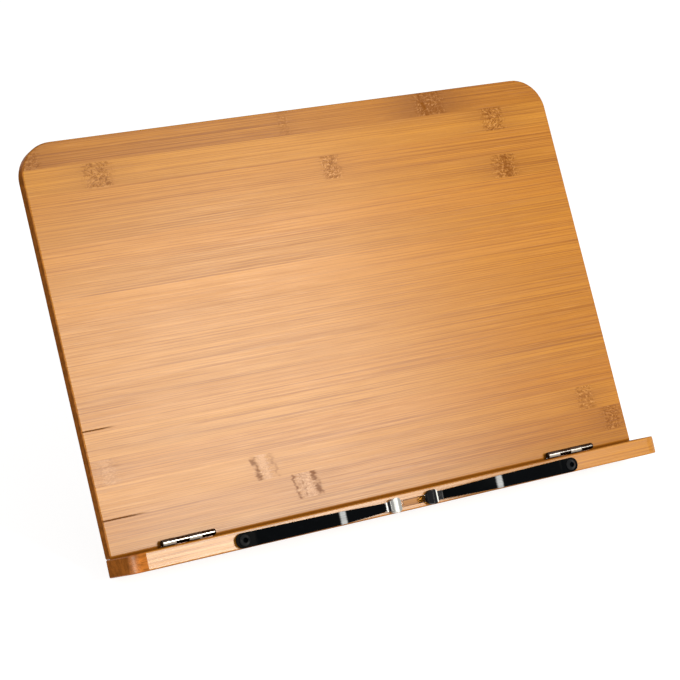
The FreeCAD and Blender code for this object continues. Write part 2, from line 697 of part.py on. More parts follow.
def make_batten():
    body = new_body("leg_batten", "board")
    outer = "-Size.board_thick - Place.batten_thick"
    low = "Size.leg_hinge_up + Size.leg_joint / 2"
    end = new_sketch(body, "YZ")
    box(end, low, f"{low} + Size.batten_width", outer, "-Size.board_thick")
    add(body, end, "Size.leg_width", both=True)
    round_edges(body, "Size.wood_round", lambda edge: (
        lies(edge, y=f"{low} + Size.batten_width", z=outer)
        or lies(edge, x="Size.leg_width / 2", z=outer)
        or lies(edge, x="-Size.leg_width / 2", z=outer)
    ))
    pilots = new_sketch(body, "XY", offset=outer)
    hinge_pilots(pilots, "Place.leg_hinge_x", "Size.leg_hinge_up + Place.leaf_hole_back")
    cut(body, pilots, "Place.pilot_depth", back=True)


def make_leg():
    half, rail = "Size.leg_width / 2", "Size.rail_width"
    top = "Size.leg_joint / 2"
    under = f"({top} + Size.leg_head)"
    middle = "(Place.leg_outer + Place.leg_inner) / 2"
    rail_x = f"({half} - {rail} / 2)"

    head = new_body("leg_head", "leg")
    end = new_sketch(head, "YZ")
    box(end, f"-{under}", f"-{top}", "Place.leg_outer", "Place.leg_inner")
    add(head, end, "Size.leg_width", both=True)
    faces = ("Place.leg_outer", "Place.leg_inner")
    corners = [(f"{sign}{half}", face) for sign in ("", "-") for face in faces]
    round_edges(head, "Size.wood_round", lambda edge: any(lies(edge, x=x, z=z) for x, z in corners))
    mortises = new_sketch(head, "XZ", offset=under)
    tenon_half = f"({rail} / 2 - Size.tenon_shoulder)"
    tongue_half = "(Size.tenon_thick / 2 - Size.glue_play)"
    for way in (-1, 1):
        box(mortises, f"{way} * {rail_x} - {tenon_half}", f"{way} * {rail_x} + {tenon_half}",
            f"{middle} - Size.tenon_thick / 2", f"{middle} + Size.tenon_thick / 2")
    cut(head, mortises, "Size.tenon_length + Size.glue_play")
    pilots = new_sketch(head, "XY", offset="Place.leg_outer")
    hinge_pilots(pilots, "Place.leg_hinge_x", "-Place.leaf_hole_back")
    cut(head, pilots, "Place.pilot_depth", back=True)

    bar_low = "(Place.foot_inner - Size.foot_bar_up)"
    bar_high = f"({bar_low} - Size.foot_bar_width)"
    bar_middle = "(Place.leg_inner - Size.foot_bar_thick / 2)"
    tenon_low, tenon_high = f"{bar_low} - Size.tenon_shoulder", f"{bar_high} + Size.tenon_shoulder"
    bar_tenon = "(Size.tenon_length / 2)"
    for side, way in (("left", -1), ("right", 1)):
        body = new_body(f"leg_rail_{side}", "leg")
        inner_x = f"{way} * ({half} - {rail})"
        start_x = inner_x if way > 0 else f"-{half}"
        outline = new_sketch(body, "YZ", offset=start_x)
        draw(outline, [
            (f"-{under}", "Place.leg_outer"),
            (f"-{under}", "Place.leg_inner"),
            ("-Place.foot_inner", "Place.leg_inner"),
            ("-Place.foot_outer", "Place.leg_outer"),
        ])
        add(body, outline, rail)
        corners = [(x, face) for x in (inner_x, f"{way} * {half}") for face in faces]
        round_edges(body, "Size.wood_round", lambda edge: any(lies(edge, x=x, z=z) for x, z in corners))
        tenon = new_sketch(body, "XZ", offset=under)
        box(tenon, f"{way} * {rail_x} - {tenon_half}", f"{way} * {rail_x} + {tenon_half}",
            f"{middle} - {tongue_half}", f"{middle} + {tongue_half}")
        add(body, tenon, "Size.tenon_length", back=True)
        mortise = new_sketch(body, "YZ", offset=inner_x)
        box(mortise, f"-({tenon_low}) - Size.glue_play", f"-({tenon_high}) + Size.glue_play",
            f"{bar_middle} - Size.tenon_thick / 2", f"{bar_middle} + Size.tenon_thick / 2")
        cut(body, mortise, f"{bar_tenon} + Size.glue_play", back=way > 0)
        rack(body, start_x)

    bar = new_body("leg_foot_bar", "leg")
    plank = new_sketch(bar, "YZ")
    box(plank, f"-{bar_low}", f"-{bar_high}", "Place.leg_inner - Size.foot_bar_thick", "Place.leg_inner")
    add(bar, plank, f"2 * ({half} - {rail})", both=True)
    tongue = new_sketch(bar, "YZ")
    box(tongue, f"-({tenon_low})", f"-({tenon_high})", f"{bar_middle} - {tongue_half}",
        f"{bar_middle} + {tongue_half}")
    add(bar, tongue, f"2 * ({half} - {rail} + {bar_tenon})", both=True)


def rack(body, start_x):
    """Cuts the row of notches that the wire stay drops into. The lowest one holds it at rest."""
    radius, face, floor = "Place.notch_radius", "Place.leg_outer", "Place.wire_sunk"
    slope = "Size.notch_slope"
    low, high = f"-Place.notch_down - {radius}", f"-Place.notch_down + {radius} * cos({slope})"
    bend = f"({floor} + {radius} * sin({slope}))"
    mouth = f"({face} - {radius})"
    notch = new_sketch(body, "YZ", offset=start_x)
    draw(notch, [
        (low, mouth),
        (f"{high} + ({bend} - {mouth}) * tan({slope})", mouth),
        (high, bend),
        (low, floor, "-Place.notch_down", floor, 1),
    ])
    first = cut(body, notch, "Size.rail_width", back=True)
    repeat(body, [first], [("Y", "(Size.notch_count - 1) * Size.notch_pitch", "Size.notch_count")])


# Wire stay and its saddles

def make_stay():
    body = new_body("stay_wire", "stay")
    half, bend, tip, far = "Place.stay_half", "Size.stay_bend", "Place.stay_tip", "Place.stay_length"
    path = new_sketch(body, "XY")
    draw(path, [
        (f"-{tip}", "0"),
        (f"-{half} - {bend}", "0"),
        (f"-{half}", bend, f"-{half} - {bend}", bend, 1),
        (f"-{half}", f"{far} - {bend}"),
        (f"{bend} - {half}", far, f"{bend} - {half}", f"{far} - {bend}", -1),
        (f"{half} - {bend}", far),
        (half, f"{far} - {bend}", f"{half} - {bend}", f"{far} - {bend}", -1),
        (half, bend),
        (f"{half} + {bend}", "0", f"{half} + {bend}", bend, 1),
        (tip, "0"),
    ], closed=False)
    section = new_sketch(body, "YZ", offset=f"-{tip}")
    circle(section, "0", "0", "Size.wire_radius")
    doc.recompute()
    pipe = body.newObject("PartDesign::AdditivePipe", "stay_wire_pipe")
    pipe.Profile = section
    pipe.Spine = (path, [f"Edge{number}" for number in range(1, len(path.Shape.Edges) + 1)])
    settle(body, pipe, 0, True)
    round_edges(body, "Size.wire_radius / 3", lambda edge: lies(edge, x=tip) or lies(edge, x=f"-{tip}"))

    inner = "(Size.wire_radius + Size.saddle_play)"
    outer = f"({inner} + Size.saddle_thick)"
    level = "(Size.wire_radius + Size.turn_clear)"
    wing = f"({outer} + Size.saddle_wing)"
    plate = "Size.saddle_thick"
    for side, sign in (("left", "-"), ("right", "")):
        saddle = new_body(f"stay_saddle_{side}", "board", f"{sign}Place.saddle_x", "Size.stay_up",
                          "-Size.board_thick", "-90")
        strap = new_sketch(saddle, "YZ")
        draw(strap, [
            ("0", f"-{wing}"),
            ("0", f"-{inner}"),
            (level, f"-{inner}"),
            (level, inner, level, "0", 1),
            ("0", inner),
            ("0", wing),
            (plate, wing),
            (plate, outer),
            (level, outer),
            (level, f"-{outer}", level, "0", -1),
            (plate, f"-{outer}"),
            (plate, f"-{wing}"),
        ])
        add(saddle, strap, "Size.saddle_width", both=True)
        round_edges(saddle, "2 * Size.saddle_thick", lambda edge: (
            any(lies(edge, x=f"{a}Size.saddle_width / 2", z=b + wing) for a in ("", "-") for b in ("", "-"))
        ))
        for step in (-1, 1):
            hole = new_sketch(saddle, "XY", offset=f"{step} * Size.saddle_screw_out")
            draw(hole, [("0", "0"), ("Place.pilot_radius", "0"), (f"Place.pilot_radius + {plate}", plate),
                        ("0", plate)])
            spin(saddle, hole, "Groove")


make_board()
make_ledge()
make_hinges()
make_screws()
make_clips()
make_batten()
make_leg()
make_stay()

# The origin goes to the middle of the footprint
doc.recompute()
spans = [body.Shape.optimalBoundingBox() for body in nodes]
front = min(span.YMin for span in spans)
rear = max(span.YMax for span in spans)
place.set(place.getCellFromAlias("base_y"), str(-(front + rear) / 2))
doc.recompute()

# Every object and every solid is sound before a file is written
for item in doc.Objects:
    if "Invalid" in item.State or "Error" in item.State:
        raise RuntimeError(f"{item.Name} failed: {item.State}")
os.makedirs("parts", exist_ok=True)
for body in nodes:
    if body.Shape.isNull() or not body.Shape.isValid():
        raise RuntimeError(f"{body.Label} has no valid shape")
for body in nodes:
    body.Shape.exportStep(f"parts/{body.Label}.step")
    print(f"{body.Label}: {len(body.Shape.Solids)} solids, {body.Shape.Volume:.1f} mm3")
for name in ("base_y", "base_z", "leg_axis_y", "leg_axis_z", "stay_axis_y", "stay_axis_z", "stay_length",
             "stay_tilt", "board_tilt", "ledge_tilt", "hinge_gap", "axis_board_up", "axis_board_out",
             "foot_outer", "foot_inner"):
    print(f"{name} = {value('Place.' + name):.5f}")
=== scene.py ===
"""Book stand: bamboo board, folding ledge, two page clips, rear leg and wire stay, dressed for a studio view.

Run as a script. Every length that a maker would read is in millimetres; the scene itself is in metres.
"""

import json
import math

import bmesh
import bpy
from mathutils import Matrix, Vector


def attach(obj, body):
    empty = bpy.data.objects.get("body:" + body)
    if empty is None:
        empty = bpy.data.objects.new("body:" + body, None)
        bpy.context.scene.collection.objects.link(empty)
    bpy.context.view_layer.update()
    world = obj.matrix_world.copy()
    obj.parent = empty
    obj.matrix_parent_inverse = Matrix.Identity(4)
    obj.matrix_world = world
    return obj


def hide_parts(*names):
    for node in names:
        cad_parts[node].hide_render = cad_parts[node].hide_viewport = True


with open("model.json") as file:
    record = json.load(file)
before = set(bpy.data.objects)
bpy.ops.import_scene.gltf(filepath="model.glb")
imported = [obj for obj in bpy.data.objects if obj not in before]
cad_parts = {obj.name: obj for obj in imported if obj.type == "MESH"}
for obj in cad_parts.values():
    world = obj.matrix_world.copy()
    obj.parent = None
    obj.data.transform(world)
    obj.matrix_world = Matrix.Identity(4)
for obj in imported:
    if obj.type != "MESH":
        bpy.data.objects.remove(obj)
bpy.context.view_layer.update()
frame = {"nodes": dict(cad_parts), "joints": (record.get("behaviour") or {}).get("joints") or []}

bl_info = {
    "name": "Book Stand",
    "version": (1, 0, 0),
    "blender": (4, 5, 0),
    "location": "View3D > Sidebar > Book Stand",
    "description": "Models and finishes a bamboo book stand around its packed frame",
    "category": "Object",
}

MM = 0.001
JOINTS = {joint["name"]: joint for joint in frame["joints"]}

# The camera: the picture's width and the focal length in pixels, its place in metres and turns in degrees
PICTURE = 680
LENS_PIXELS = 2188.75
CAMERA_AT = (-0.578094, -1.027049, 0.517320)
CAMERA_TURN = (70.1281, -0.0442, -29.1948)

# Frames of the stand's pieces. Their Y runs up the piece and their Z out of its front.
BOARD_TILT = math.radians(61)
LEDGE_TILT = math.radians(63.5)
LEG_TILT = math.radians(103)
BOARD_FOOT = Vector((0, -0.04760923, 0.01224602))
LEDGE_AXIS = Vector(JOINTS["ledge_fold"]["pos_m"])
LEG_AXIS = Vector(JOINTS["leg_fold"]["pos_m"])

# Places and gaps in those frames, in millimetres: the board's edges, its gap to the ledge, a hinge barrel's
# gap to the wood, the ledge hinges' axis above the board's foot, how far out the hinges are, and where a
# clip turns on the ledge
BOARD_FLOOR = 0.399
BOARD_TOP = 229.4
BOARD_THICK = 8
BOARD_HALF = 170.0
STOP_GAP = 0.05
BARREL_ROOM = 0.3
LEDGE_AXIS_UP = 2.05417
LEDGE_HINGE_OUT = 124.8
LEG_HINGE_OUT = 42.0
CLIP_PIVOT = (105.2, -5.6, 28.6)


# Sizes and colours that a user would change

def length(name, description, default, low=0.0):
    """A length in millimetres."""
    return bpy.props.FloatProperty(name=name, description=description + ", in millimetres", default=default,
                                   min=low, precision=3, unit="NONE", subtype="DISTANCE_CAMERA")


def colour(name, description, default):
    """A linear colour."""
    return bpy.props.FloatVectorProperty(name=name, description=description, default=default, size=3,
                                         min=0.0, max=1.0, subtype="COLOR")


class StandSizes(bpy.types.PropertyGroup):
    """Lengths of the metal pieces and of the bamboo's strips"""
    strip: length("Strip", "Height of one bamboo strip", 14.7, 1.0)
    hinge_length: length("Hinge length", "Length of a hinge", 30.6)
    leaf_thick: length("Leaf thickness", "Thickness of a hinge's sheet", 0.5)
    leaf_depth: length("Leaf depth", "Distance from a hinge's axis to its leaf's far edge", 9.2)
    barrel_radius: length("Barrel radius", "Outer radius of the rolled knuckles", 1.85)
    knuckle_gap: length("Knuckle gap", "Gap between two knuckles", 0.2)
    clip_reach: length("Clip reach", "Distance from a clip's screw to the middle of its cap", 93.3)
    clip_thick: length("Clip thickness", "Thickness of a clip's spring strip", 1.16)
    clip_bend: length("Clip bend", "Radius of the bend at a clip's crest", 7.6)
    edge_round: length("Edge rounding", "Rounding along the edges of the clips", 0.28)


class StandColours(bpy.types.PropertyGroup):
    """Colours of the bamboo, the metals and the caps"""
    bamboo_light: colour("Bamboo light", "The paler fibres", (0.470, 0.197, 0.022))
    bamboo_dark: colour("Bamboo dark", "The darker streaks", (0.275, 0.094, 0.007))
    node_brown: colour("Node brown", "The dark specks of a growth node", (0.185, 0.058, 0.006))
    node_pink: colour("Node flush", "The flushed middle of a growth node", (0.52, 0.27, 0.13))
    node_pale: colour("Node pale", "The pale wisps of a growth node", (0.60, 0.30, 0.10))
    end_grain: colour("End grain", "The cut ends of the strips", (0.25, 0.080, 0.014))
    nickel: colour("Nickel", "The plated hinges and screws", (0.42, 0.41, 0.39))
    # The ledge hinges' pins are near black: painted shade in the knuckles' open seams
    steel: colour("Pin steel", "The dark pins of the ledge's hinges", (0.022, 0.015, 0.011))
    zinc: colour("Zinc", "The plated wire and saddles", (0.62, 0.63, 0.64))
    paint: colour("Clip paint", "The satin black of the clips", (0.0018, 0.0022, 0.0028))
    vinyl: colour("Clear vinyl", "The clear caps", (0.95, 0.96, 0.97))


def sizes():
    return bpy.context.scene.stand_sizes


def colours():
    return bpy.context.scene.stand_colours


# Mesh helpers: each works on the active object in edit mode, in millimetres about the object's origin

def deselect():
    if bpy.context.mode != "OBJECT":
        bpy.ops.object.mode_set(mode="OBJECT")
    bpy.ops.object.select_all(action="DESELECT")


def choose(piece):
    """Makes a piece the only selected one and the active one."""
    deselect()
    bpy.context.view_layer.objects.active = piece
    piece.select_set(True)


def start(name, primitive, **settings):
    """Adds a primitive, names it and opens it for editing with nothing selected."""
    deselect()
    primitive(**settings)
    piece = bpy.context.object
    piece.name = name
    bpy.ops.object.transform_apply()
    bpy.ops.object.mode_set(mode="EDIT")
    bpy.ops.mesh.select_all(action="DESELECT")
    return piece


def pick(kind, wanted):
    """Selects the vertices, edges or faces of which every corner passes the test."""
    mesh = bmesh.from_edit_mesh(bpy.context.object.data)
    bpy.ops.mesh.select_mode(type=kind)
    bpy.ops.mesh.select_all(action="DESELECT")
    parts = {"VERT": mesh.verts, "EDGE": mesh.edges, "FACE": mesh.faces}[kind]
    found = False
    for part in parts:
        ends = [part.co] if kind == "VERT" else [corner.co for corner in part.verts]
        if all(wanted(end) for end in ends):
            part.select_set(True)
            found = True
    if kind == "VERT":
        mesh.select_flush(True)
    bmesh.update_edit_mesh(bpy.context.object.data)
    if not found:
        raise RuntimeError(f"{bpy.context.object.name} has no {kind.lower()} where one was expected")


def choose_all():
    """Selects the whole mesh."""
    bpy.ops.mesh.select_all(action="SELECT")


def slice_at(x):
    """Cuts the whole mesh across X."""
    choose_all()
    bpy.ops.mesh.bisect(plane_co=(x, 0, 0), plane_no=(1, 0, 0))


def near(value, target, slack=1e-4):
    return abs(value - target) < slack


def push(x=0.0, y=0.0, z=0.0):
    """Extrudes what is selected and moves it."""
    bpy.ops.mesh.extrude_region_move(TRANSFORM_OT_translate={"value": (x, y, z)})


def resize(scale, centre):
    bpy.ops.transform.resize(value=scale, center_override=centre)


def finish_edit():
    """Welds what meets, turns every face outwards and leaves edit mode."""
    bpy.ops.mesh.select_mode(type="VERT")
    choose_all()
    bpy.ops.mesh.remove_doubles(threshold=1e-4)
    bpy.ops.mesh.normals_make_consistent(inside=False)
    bpy.ops.object.mode_set(mode="OBJECT")


def modify(piece, kind, **settings):
    """Adds a modifier with these settings and applies it."""
    choose(piece)
    modifier = piece.modifiers.new(kind.title(), kind)
    for name, setting in settings.items():
        setattr(modifier, name, setting)
    bpy.ops.object.modifier_apply(modifier=modifier.name)


def thicken(piece, thickness):
    """Gives a sheet its thickness, half of it to either side."""
    modify(piece, "SOLIDIFY", thickness=thickness, offset=0.0, use_even_offset=True)


def carve(piece, cutter):
    """Cuts one piece with another and removes the cutter."""
    modify(piece, "BOOLEAN", operation="DIFFERENCE", object=cutter, solver="EXACT")
    bpy.data.objects.remove(cutter)


def soften(piece, width, segments=2, angle=35):
    """Rounds the sharp edges and shades the rest smooth."""
    modify(piece, "BEVEL", width=width, segments=segments, limit_method="ANGLE",
           angle_limit=math.radians(angle))
    bpy.ops.object.shade_smooth_by_angle(angle=math.radians(angle))
    modify(piece, "WEIGHTED_NORMAL", weight=100, keep_sharp=True)


def twin(piece, name):
    copy = piece.copy()
    copy.data = piece.data.copy()
    copy.name = name
    bpy.context.collection.objects.link(copy)
    return copy


def mirrored(piece, name):
    """A copy mirrored across its own YZ plane, with its faces turned outwards again."""
    copy = twin(piece, name)
    choose(copy)
    copy.scale = (-1, 1, 1)
    bpy.ops.object.transform_apply()
    bpy.ops.object.mode_set(mode="EDIT")
    choose_all()
    bpy.ops.mesh.normals_make_consistent(inside=False)
    bpy.ops.object.mode_set(mode="OBJECT")
    return copy


def leaning(spot, tilt):
    """A place at the spot, tilted about X."""
    return Matrix.Translation(spot) @ Matrix.Rotation(tilt, 4, "X")


def coat(piece, material):
    piece.data.materials.clear()
    piece.data.materials.append(material)


def settle(piece, place, body, slot, material, *nodes):
    """Puts a piece modelled in millimetres in its place and says what it belongs to."""
    choose(piece)
    piece.matrix_world = place @ Matrix.Scale(MM, 4)
    bpy.ops.object.transform_apply()
    coat(piece, material)
    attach(piece, body)
    if nodes:
        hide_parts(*nodes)


def sheet(name, wide, deep, height, middle):
    """Adds a flat sheet, wide along X and deep along Z, and opens it for editing."""
    piece = start(name, bpy.ops.mesh.primitive_plane_add, size=1.0, rotation=(math.pi / 2, 0, 0))
    choose_all()
    resize((wide, 1, deep), (0, 0, 0))
    bpy.ops.transform.translate(value=(0, height, middle))
    return piece


def lathe(name, stations, segments=40):
    """Turns a list of (radius, height) about the upright axis; a radius of 0 closes an end."""
    first_radius, first_height = stations[0]
    tiny = 0.02
    piece = start(name, bpy.ops.mesh.primitive_circle_add, vertices=segments, radius=max(first_radius, tiny),
                  location=(0, 0, first_height))
    choose_all()
    if first_radius == 0:
        bpy.ops.mesh.edge_face_add()
    radius, height = max(first_radius, tiny), first_height
    for next_radius, next_height in stations[1:]:
        next_radius = max(next_radius, tiny)
        bpy.ops.mesh.select_mode(type="EDGE")
        push(z=next_height - height)
        resize((next_radius / radius, next_radius / radius, 1), (0, 0, next_height))
        radius, height = next_radius, next_height
    bpy.ops.mesh.edge_face_add()
    finish_edit()
    return piece


# Materials: a small set of words for nodes

class Value:
    """A number that nodes work out. Reckoning with it adds the nodes for that."""

    def __init__(self, finish, socket):
        self.finish, self.socket = finish, socket

    def __add__(self, other):
        return self.finish.math("ADD", self, other)

    def __sub__(self, other):
        return self.finish.math("SUBTRACT", self, other)

    def __rsub__(self, other):
        return self.finish.math("SUBTRACT", other, self)

    def __mul__(self, other):
        return self.finish.math("MULTIPLY", self, other)

    def __truediv__(self, other):
        return self.finish.math("DIVIDE", self, other)

    def __abs__(self):
        return self.finish.math("ABSOLUTE", self)


def tinted(base_colour, factor):
    """A colour made darker or paler."""
    return tuple(part * factor for part in base_colour)


class Finish:
    """A new material or world, and short ways to add to its nodes. Lengths inside are millimetres."""

    def __init__(self, name, kind="materials"):
        self.owner = getattr(bpy.data, kind).new(name)
        self.owner.use_nodes = True
        self.tree = self.owner.node_tree
        self.tree.nodes.clear()

    def node(self, kind, inputs=None, **settings):
        node = self.tree.nodes.new("ShaderNode" + kind)
        for name, setting in settings.items():
            setattr(node, name, setting)
        for name, content in (inputs or {}).items():
            self.feed(node.inputs[name], content)
        return node

    def feed(self, socket, content):
        """Links a node's output to the socket, or sets the socket to a plain value."""
        if isinstance(content, Value):
            content = content.socket
        if isinstance(content, bpy.types.NodeSocket):
            self.tree.links.new(content, socket)
        elif content is not None:
            socket.default_value = content

    def math(self, operation, first, second=None, third=None):
        node = self.node("Math", operation=operation)
        for socket, content in zip(node.inputs, (first, second, third)):
            self.feed(socket, content)
        return Value(self, node.outputs[0])

    def most(self, first, second):
        return self.math("MAXIMUM", first, second)

    def least(self, first, second):
        return self.math("MINIMUM", first, second)

    def gather(self, amount, weight, total):
        """Adds the weighted amount to a total."""
        return self.math("MULTIPLY_ADD", amount, weight, total)

    def rise(self, value, low, high, start=0.0, end=1.0, way="SMOOTHSTEP"):
        """Goes smoothly from start to end as the value goes from low to high."""
        node = self.node("MapRange", {"Value": value, "From Min": low, "From Max": high,
                                      "To Min": start, "To Max": end}, interpolation_type=way)
        return Value(self, node.outputs["Result"])

    def ramp(self, value, low, high, start=0.0, end=1.0):
        """Goes evenly from start to end as the value goes from low to high."""
        return self.rise(value, low, high, start, end, "LINEAR")

    def blend(self, amount, first, second, kind="MIX"):
        node = self.node("Mix", data_type="RGBA", blend_type=kind)
        self.feed(node.inputs["Factor"], amount)
        self.feed(node.inputs[6], self.tint(first))
        self.feed(node.inputs[7], self.tint(second))
        return node.outputs[2]

    @staticmethod
    def tint(content):
        return content if isinstance(content, bpy.types.NodeSocket) else (*content, 1.0)

    def place(self, spot, tilt, source="Object", scale=MM):
        """The surface point in a piece's own frame."""
        texture = self.node("TexCoord")
        return self.node("Mapping", {"Vector": texture.outputs[source], "Location": spot,
                                     "Rotation": (tilt, 0, 0), "Scale": (scale,) * 3},
                         vector_type="TEXTURE").outputs[0]

    def facing(self, tilt):
        """The parts of the surface's normal in a piece's own frame."""
        return self.split(self.place((0, 0, 0), tilt, "Normal", 1.0))

    def split(self, vector):
        return [Value(self, part) for part in self.node("SeparateXYZ", {"Vector": vector}).outputs]

    def join(self, x, y, z):
        return self.node("CombineXYZ", {"X": x, "Y": y, "Z": z}).outputs[0]

    def stretch(self, vector, x, y, z, shift=0.0):
        """Divides the vector's parts by three lengths and moves it, mostly along X."""
        return self.node("Mapping", {"Vector": vector, "Scale": (1 / x, 1 / y, 1 / z),
                                     "Location": (shift, shift * 0.37, 0)}).outputs[0]

    def noise(self, vector, detail=2.0, rough=0.5, warp=0.0):
        node = self.node("TexNoise", {"Vector": vector, "Scale": 1.0, "Detail": detail,
                                      "Roughness": rough, "Distortion": warp})
        return Value(self, node.outputs["Fac"])

    def cells(self, vector):
        """Distance to the middle of the nearest cell."""
        return Value(self, self.node("TexVoronoi", {"Vector": vector, "Scale": 1.0}).outputs["Distance"])

    def chance(self, vector):
        """A random number from 0 to 1 that is always the same for the same vector."""
        return Value(self, self.node("TexWhiteNoise", {"Vector": vector}).outputs["Value"])

    def bump(self, height, distance, strength=1.0):
        return self.node("Bump", {"Height": height, "Distance": distance * MM,
                                  "Strength": strength}).outputs[0]

    def close(self, **sockets):
        """Ends the material in one shader; socket names have underscores for spaces."""
        inputs = {name.replace("_", " "): content for name, content in sockets.items()}
        return self.end(self.node("BsdfPrincipled", inputs))

    def end(self, shader, output="OutputMaterial"):
        """Ends the material or the world in this shader."""
        self.feed(self.node(output).inputs["Surface"], shader.outputs[0])
        return self.owner


# Growth nodes on the board's face: place across and up, half length, and how strong the brown specks, the
# pale wisps and the shade around them are
BOARD_NODES = (
    (-127.0, 210.5, 10.5, 0.80, 0.12, 0.30),
    (15.8, 193.2, 7.0, 0.80, 0.60, 0.20),
    (89.8, 222.4, 12.5, 1.10, 0.35, 1.25),
    (131.0, 207.9, 9.0, 0.95, 0.40, 0.40),
    (131.5, 178.9, 10.5, 0.90, 0.40, 0.40),
    (-69.7, 31.1, 6.5, 0.30, 0.10, 0.15),
    (-47.3, 13.5, 9.0, 0.40, 0.12, 0.26),
    (-160.6, 47.0, 7.5, 0.35, 0.15, 0.22),
    (146.4, 31.9, 7.5, 0.70, 0.40, 0.35),
    (161.2, 18.0, 8.0, 0.85, 0.30, 0.60),
    (-166.0, 222.0, 9.0, 0.80, 0.20, 0.70),
    (-8.0, 223.0, 5.0, 0.40, 0.15, 0.20),
)
# Upright bands in some of the nodes: place across and up, half width, how brown and how flushed
BOARD_BANDS = (
    (-75.2, 31.1, 1.8, 0.90, 0.0),
    (-70.2, 31.1, 3.2, 0.0, 0.50),
    (-63.7, 31.1, 0.9, 0.40, 0.0),
    (-53.7, 13.5, 0.9, 0.80, 0.0),
    (-46.7, 13.5, 4.6, 0.0, 0.55),
    (-49.2, 13.5, 0.5, 0.45, 0.0),
    (-40.7, 13.5, 1.9, 0.95, 0.0),
    (-160.6, 47.0, 5.0, 0.0, 0.35),
    (86.0, 222.4, 1.4, 0.60, 0.0),
    (133.0, 178.9, 2.2, 0.60, 0.0),
)
# Open seams between strips: place along the seam, height and half length
BOARD_SEAMS = ((-170.0, 69.4, 22.0), (-170.0, 20.4, 30.0))
# Strips that are darker than the rest, counted from the top, and how much
BOARD_SHADES = ((0, 0.26), (10, 0.10))
# The groove in the ledge's front: half length, height, half height and the level in front of its floor
LEDGE_GROOVE = (22.0, -5.6, 2.0, 28.2)

# Fibres of each kind: length, width and depth, where the pattern starts, its detail and its roughness
FIBRES = {
    "broad": (260, 5.0, 9.0, 3.1, 1.0, 0.5),
    "streak": (180, 0.85, 3.0, 7.7, 1.0, 0.5),
    "hair": (240, 0.52, 2.0, 2.9, 0.0, 0.5),
    "thread": (30, 0.52, 0.9, 1.3, 1.0, 0.6),
    "pore": (3.4, 0.30, 0.4, 5.9, 1.0, 0.5),
    "wisp": (24, 0.42, 1.0, 9.4, 1.0, 0.5),
}


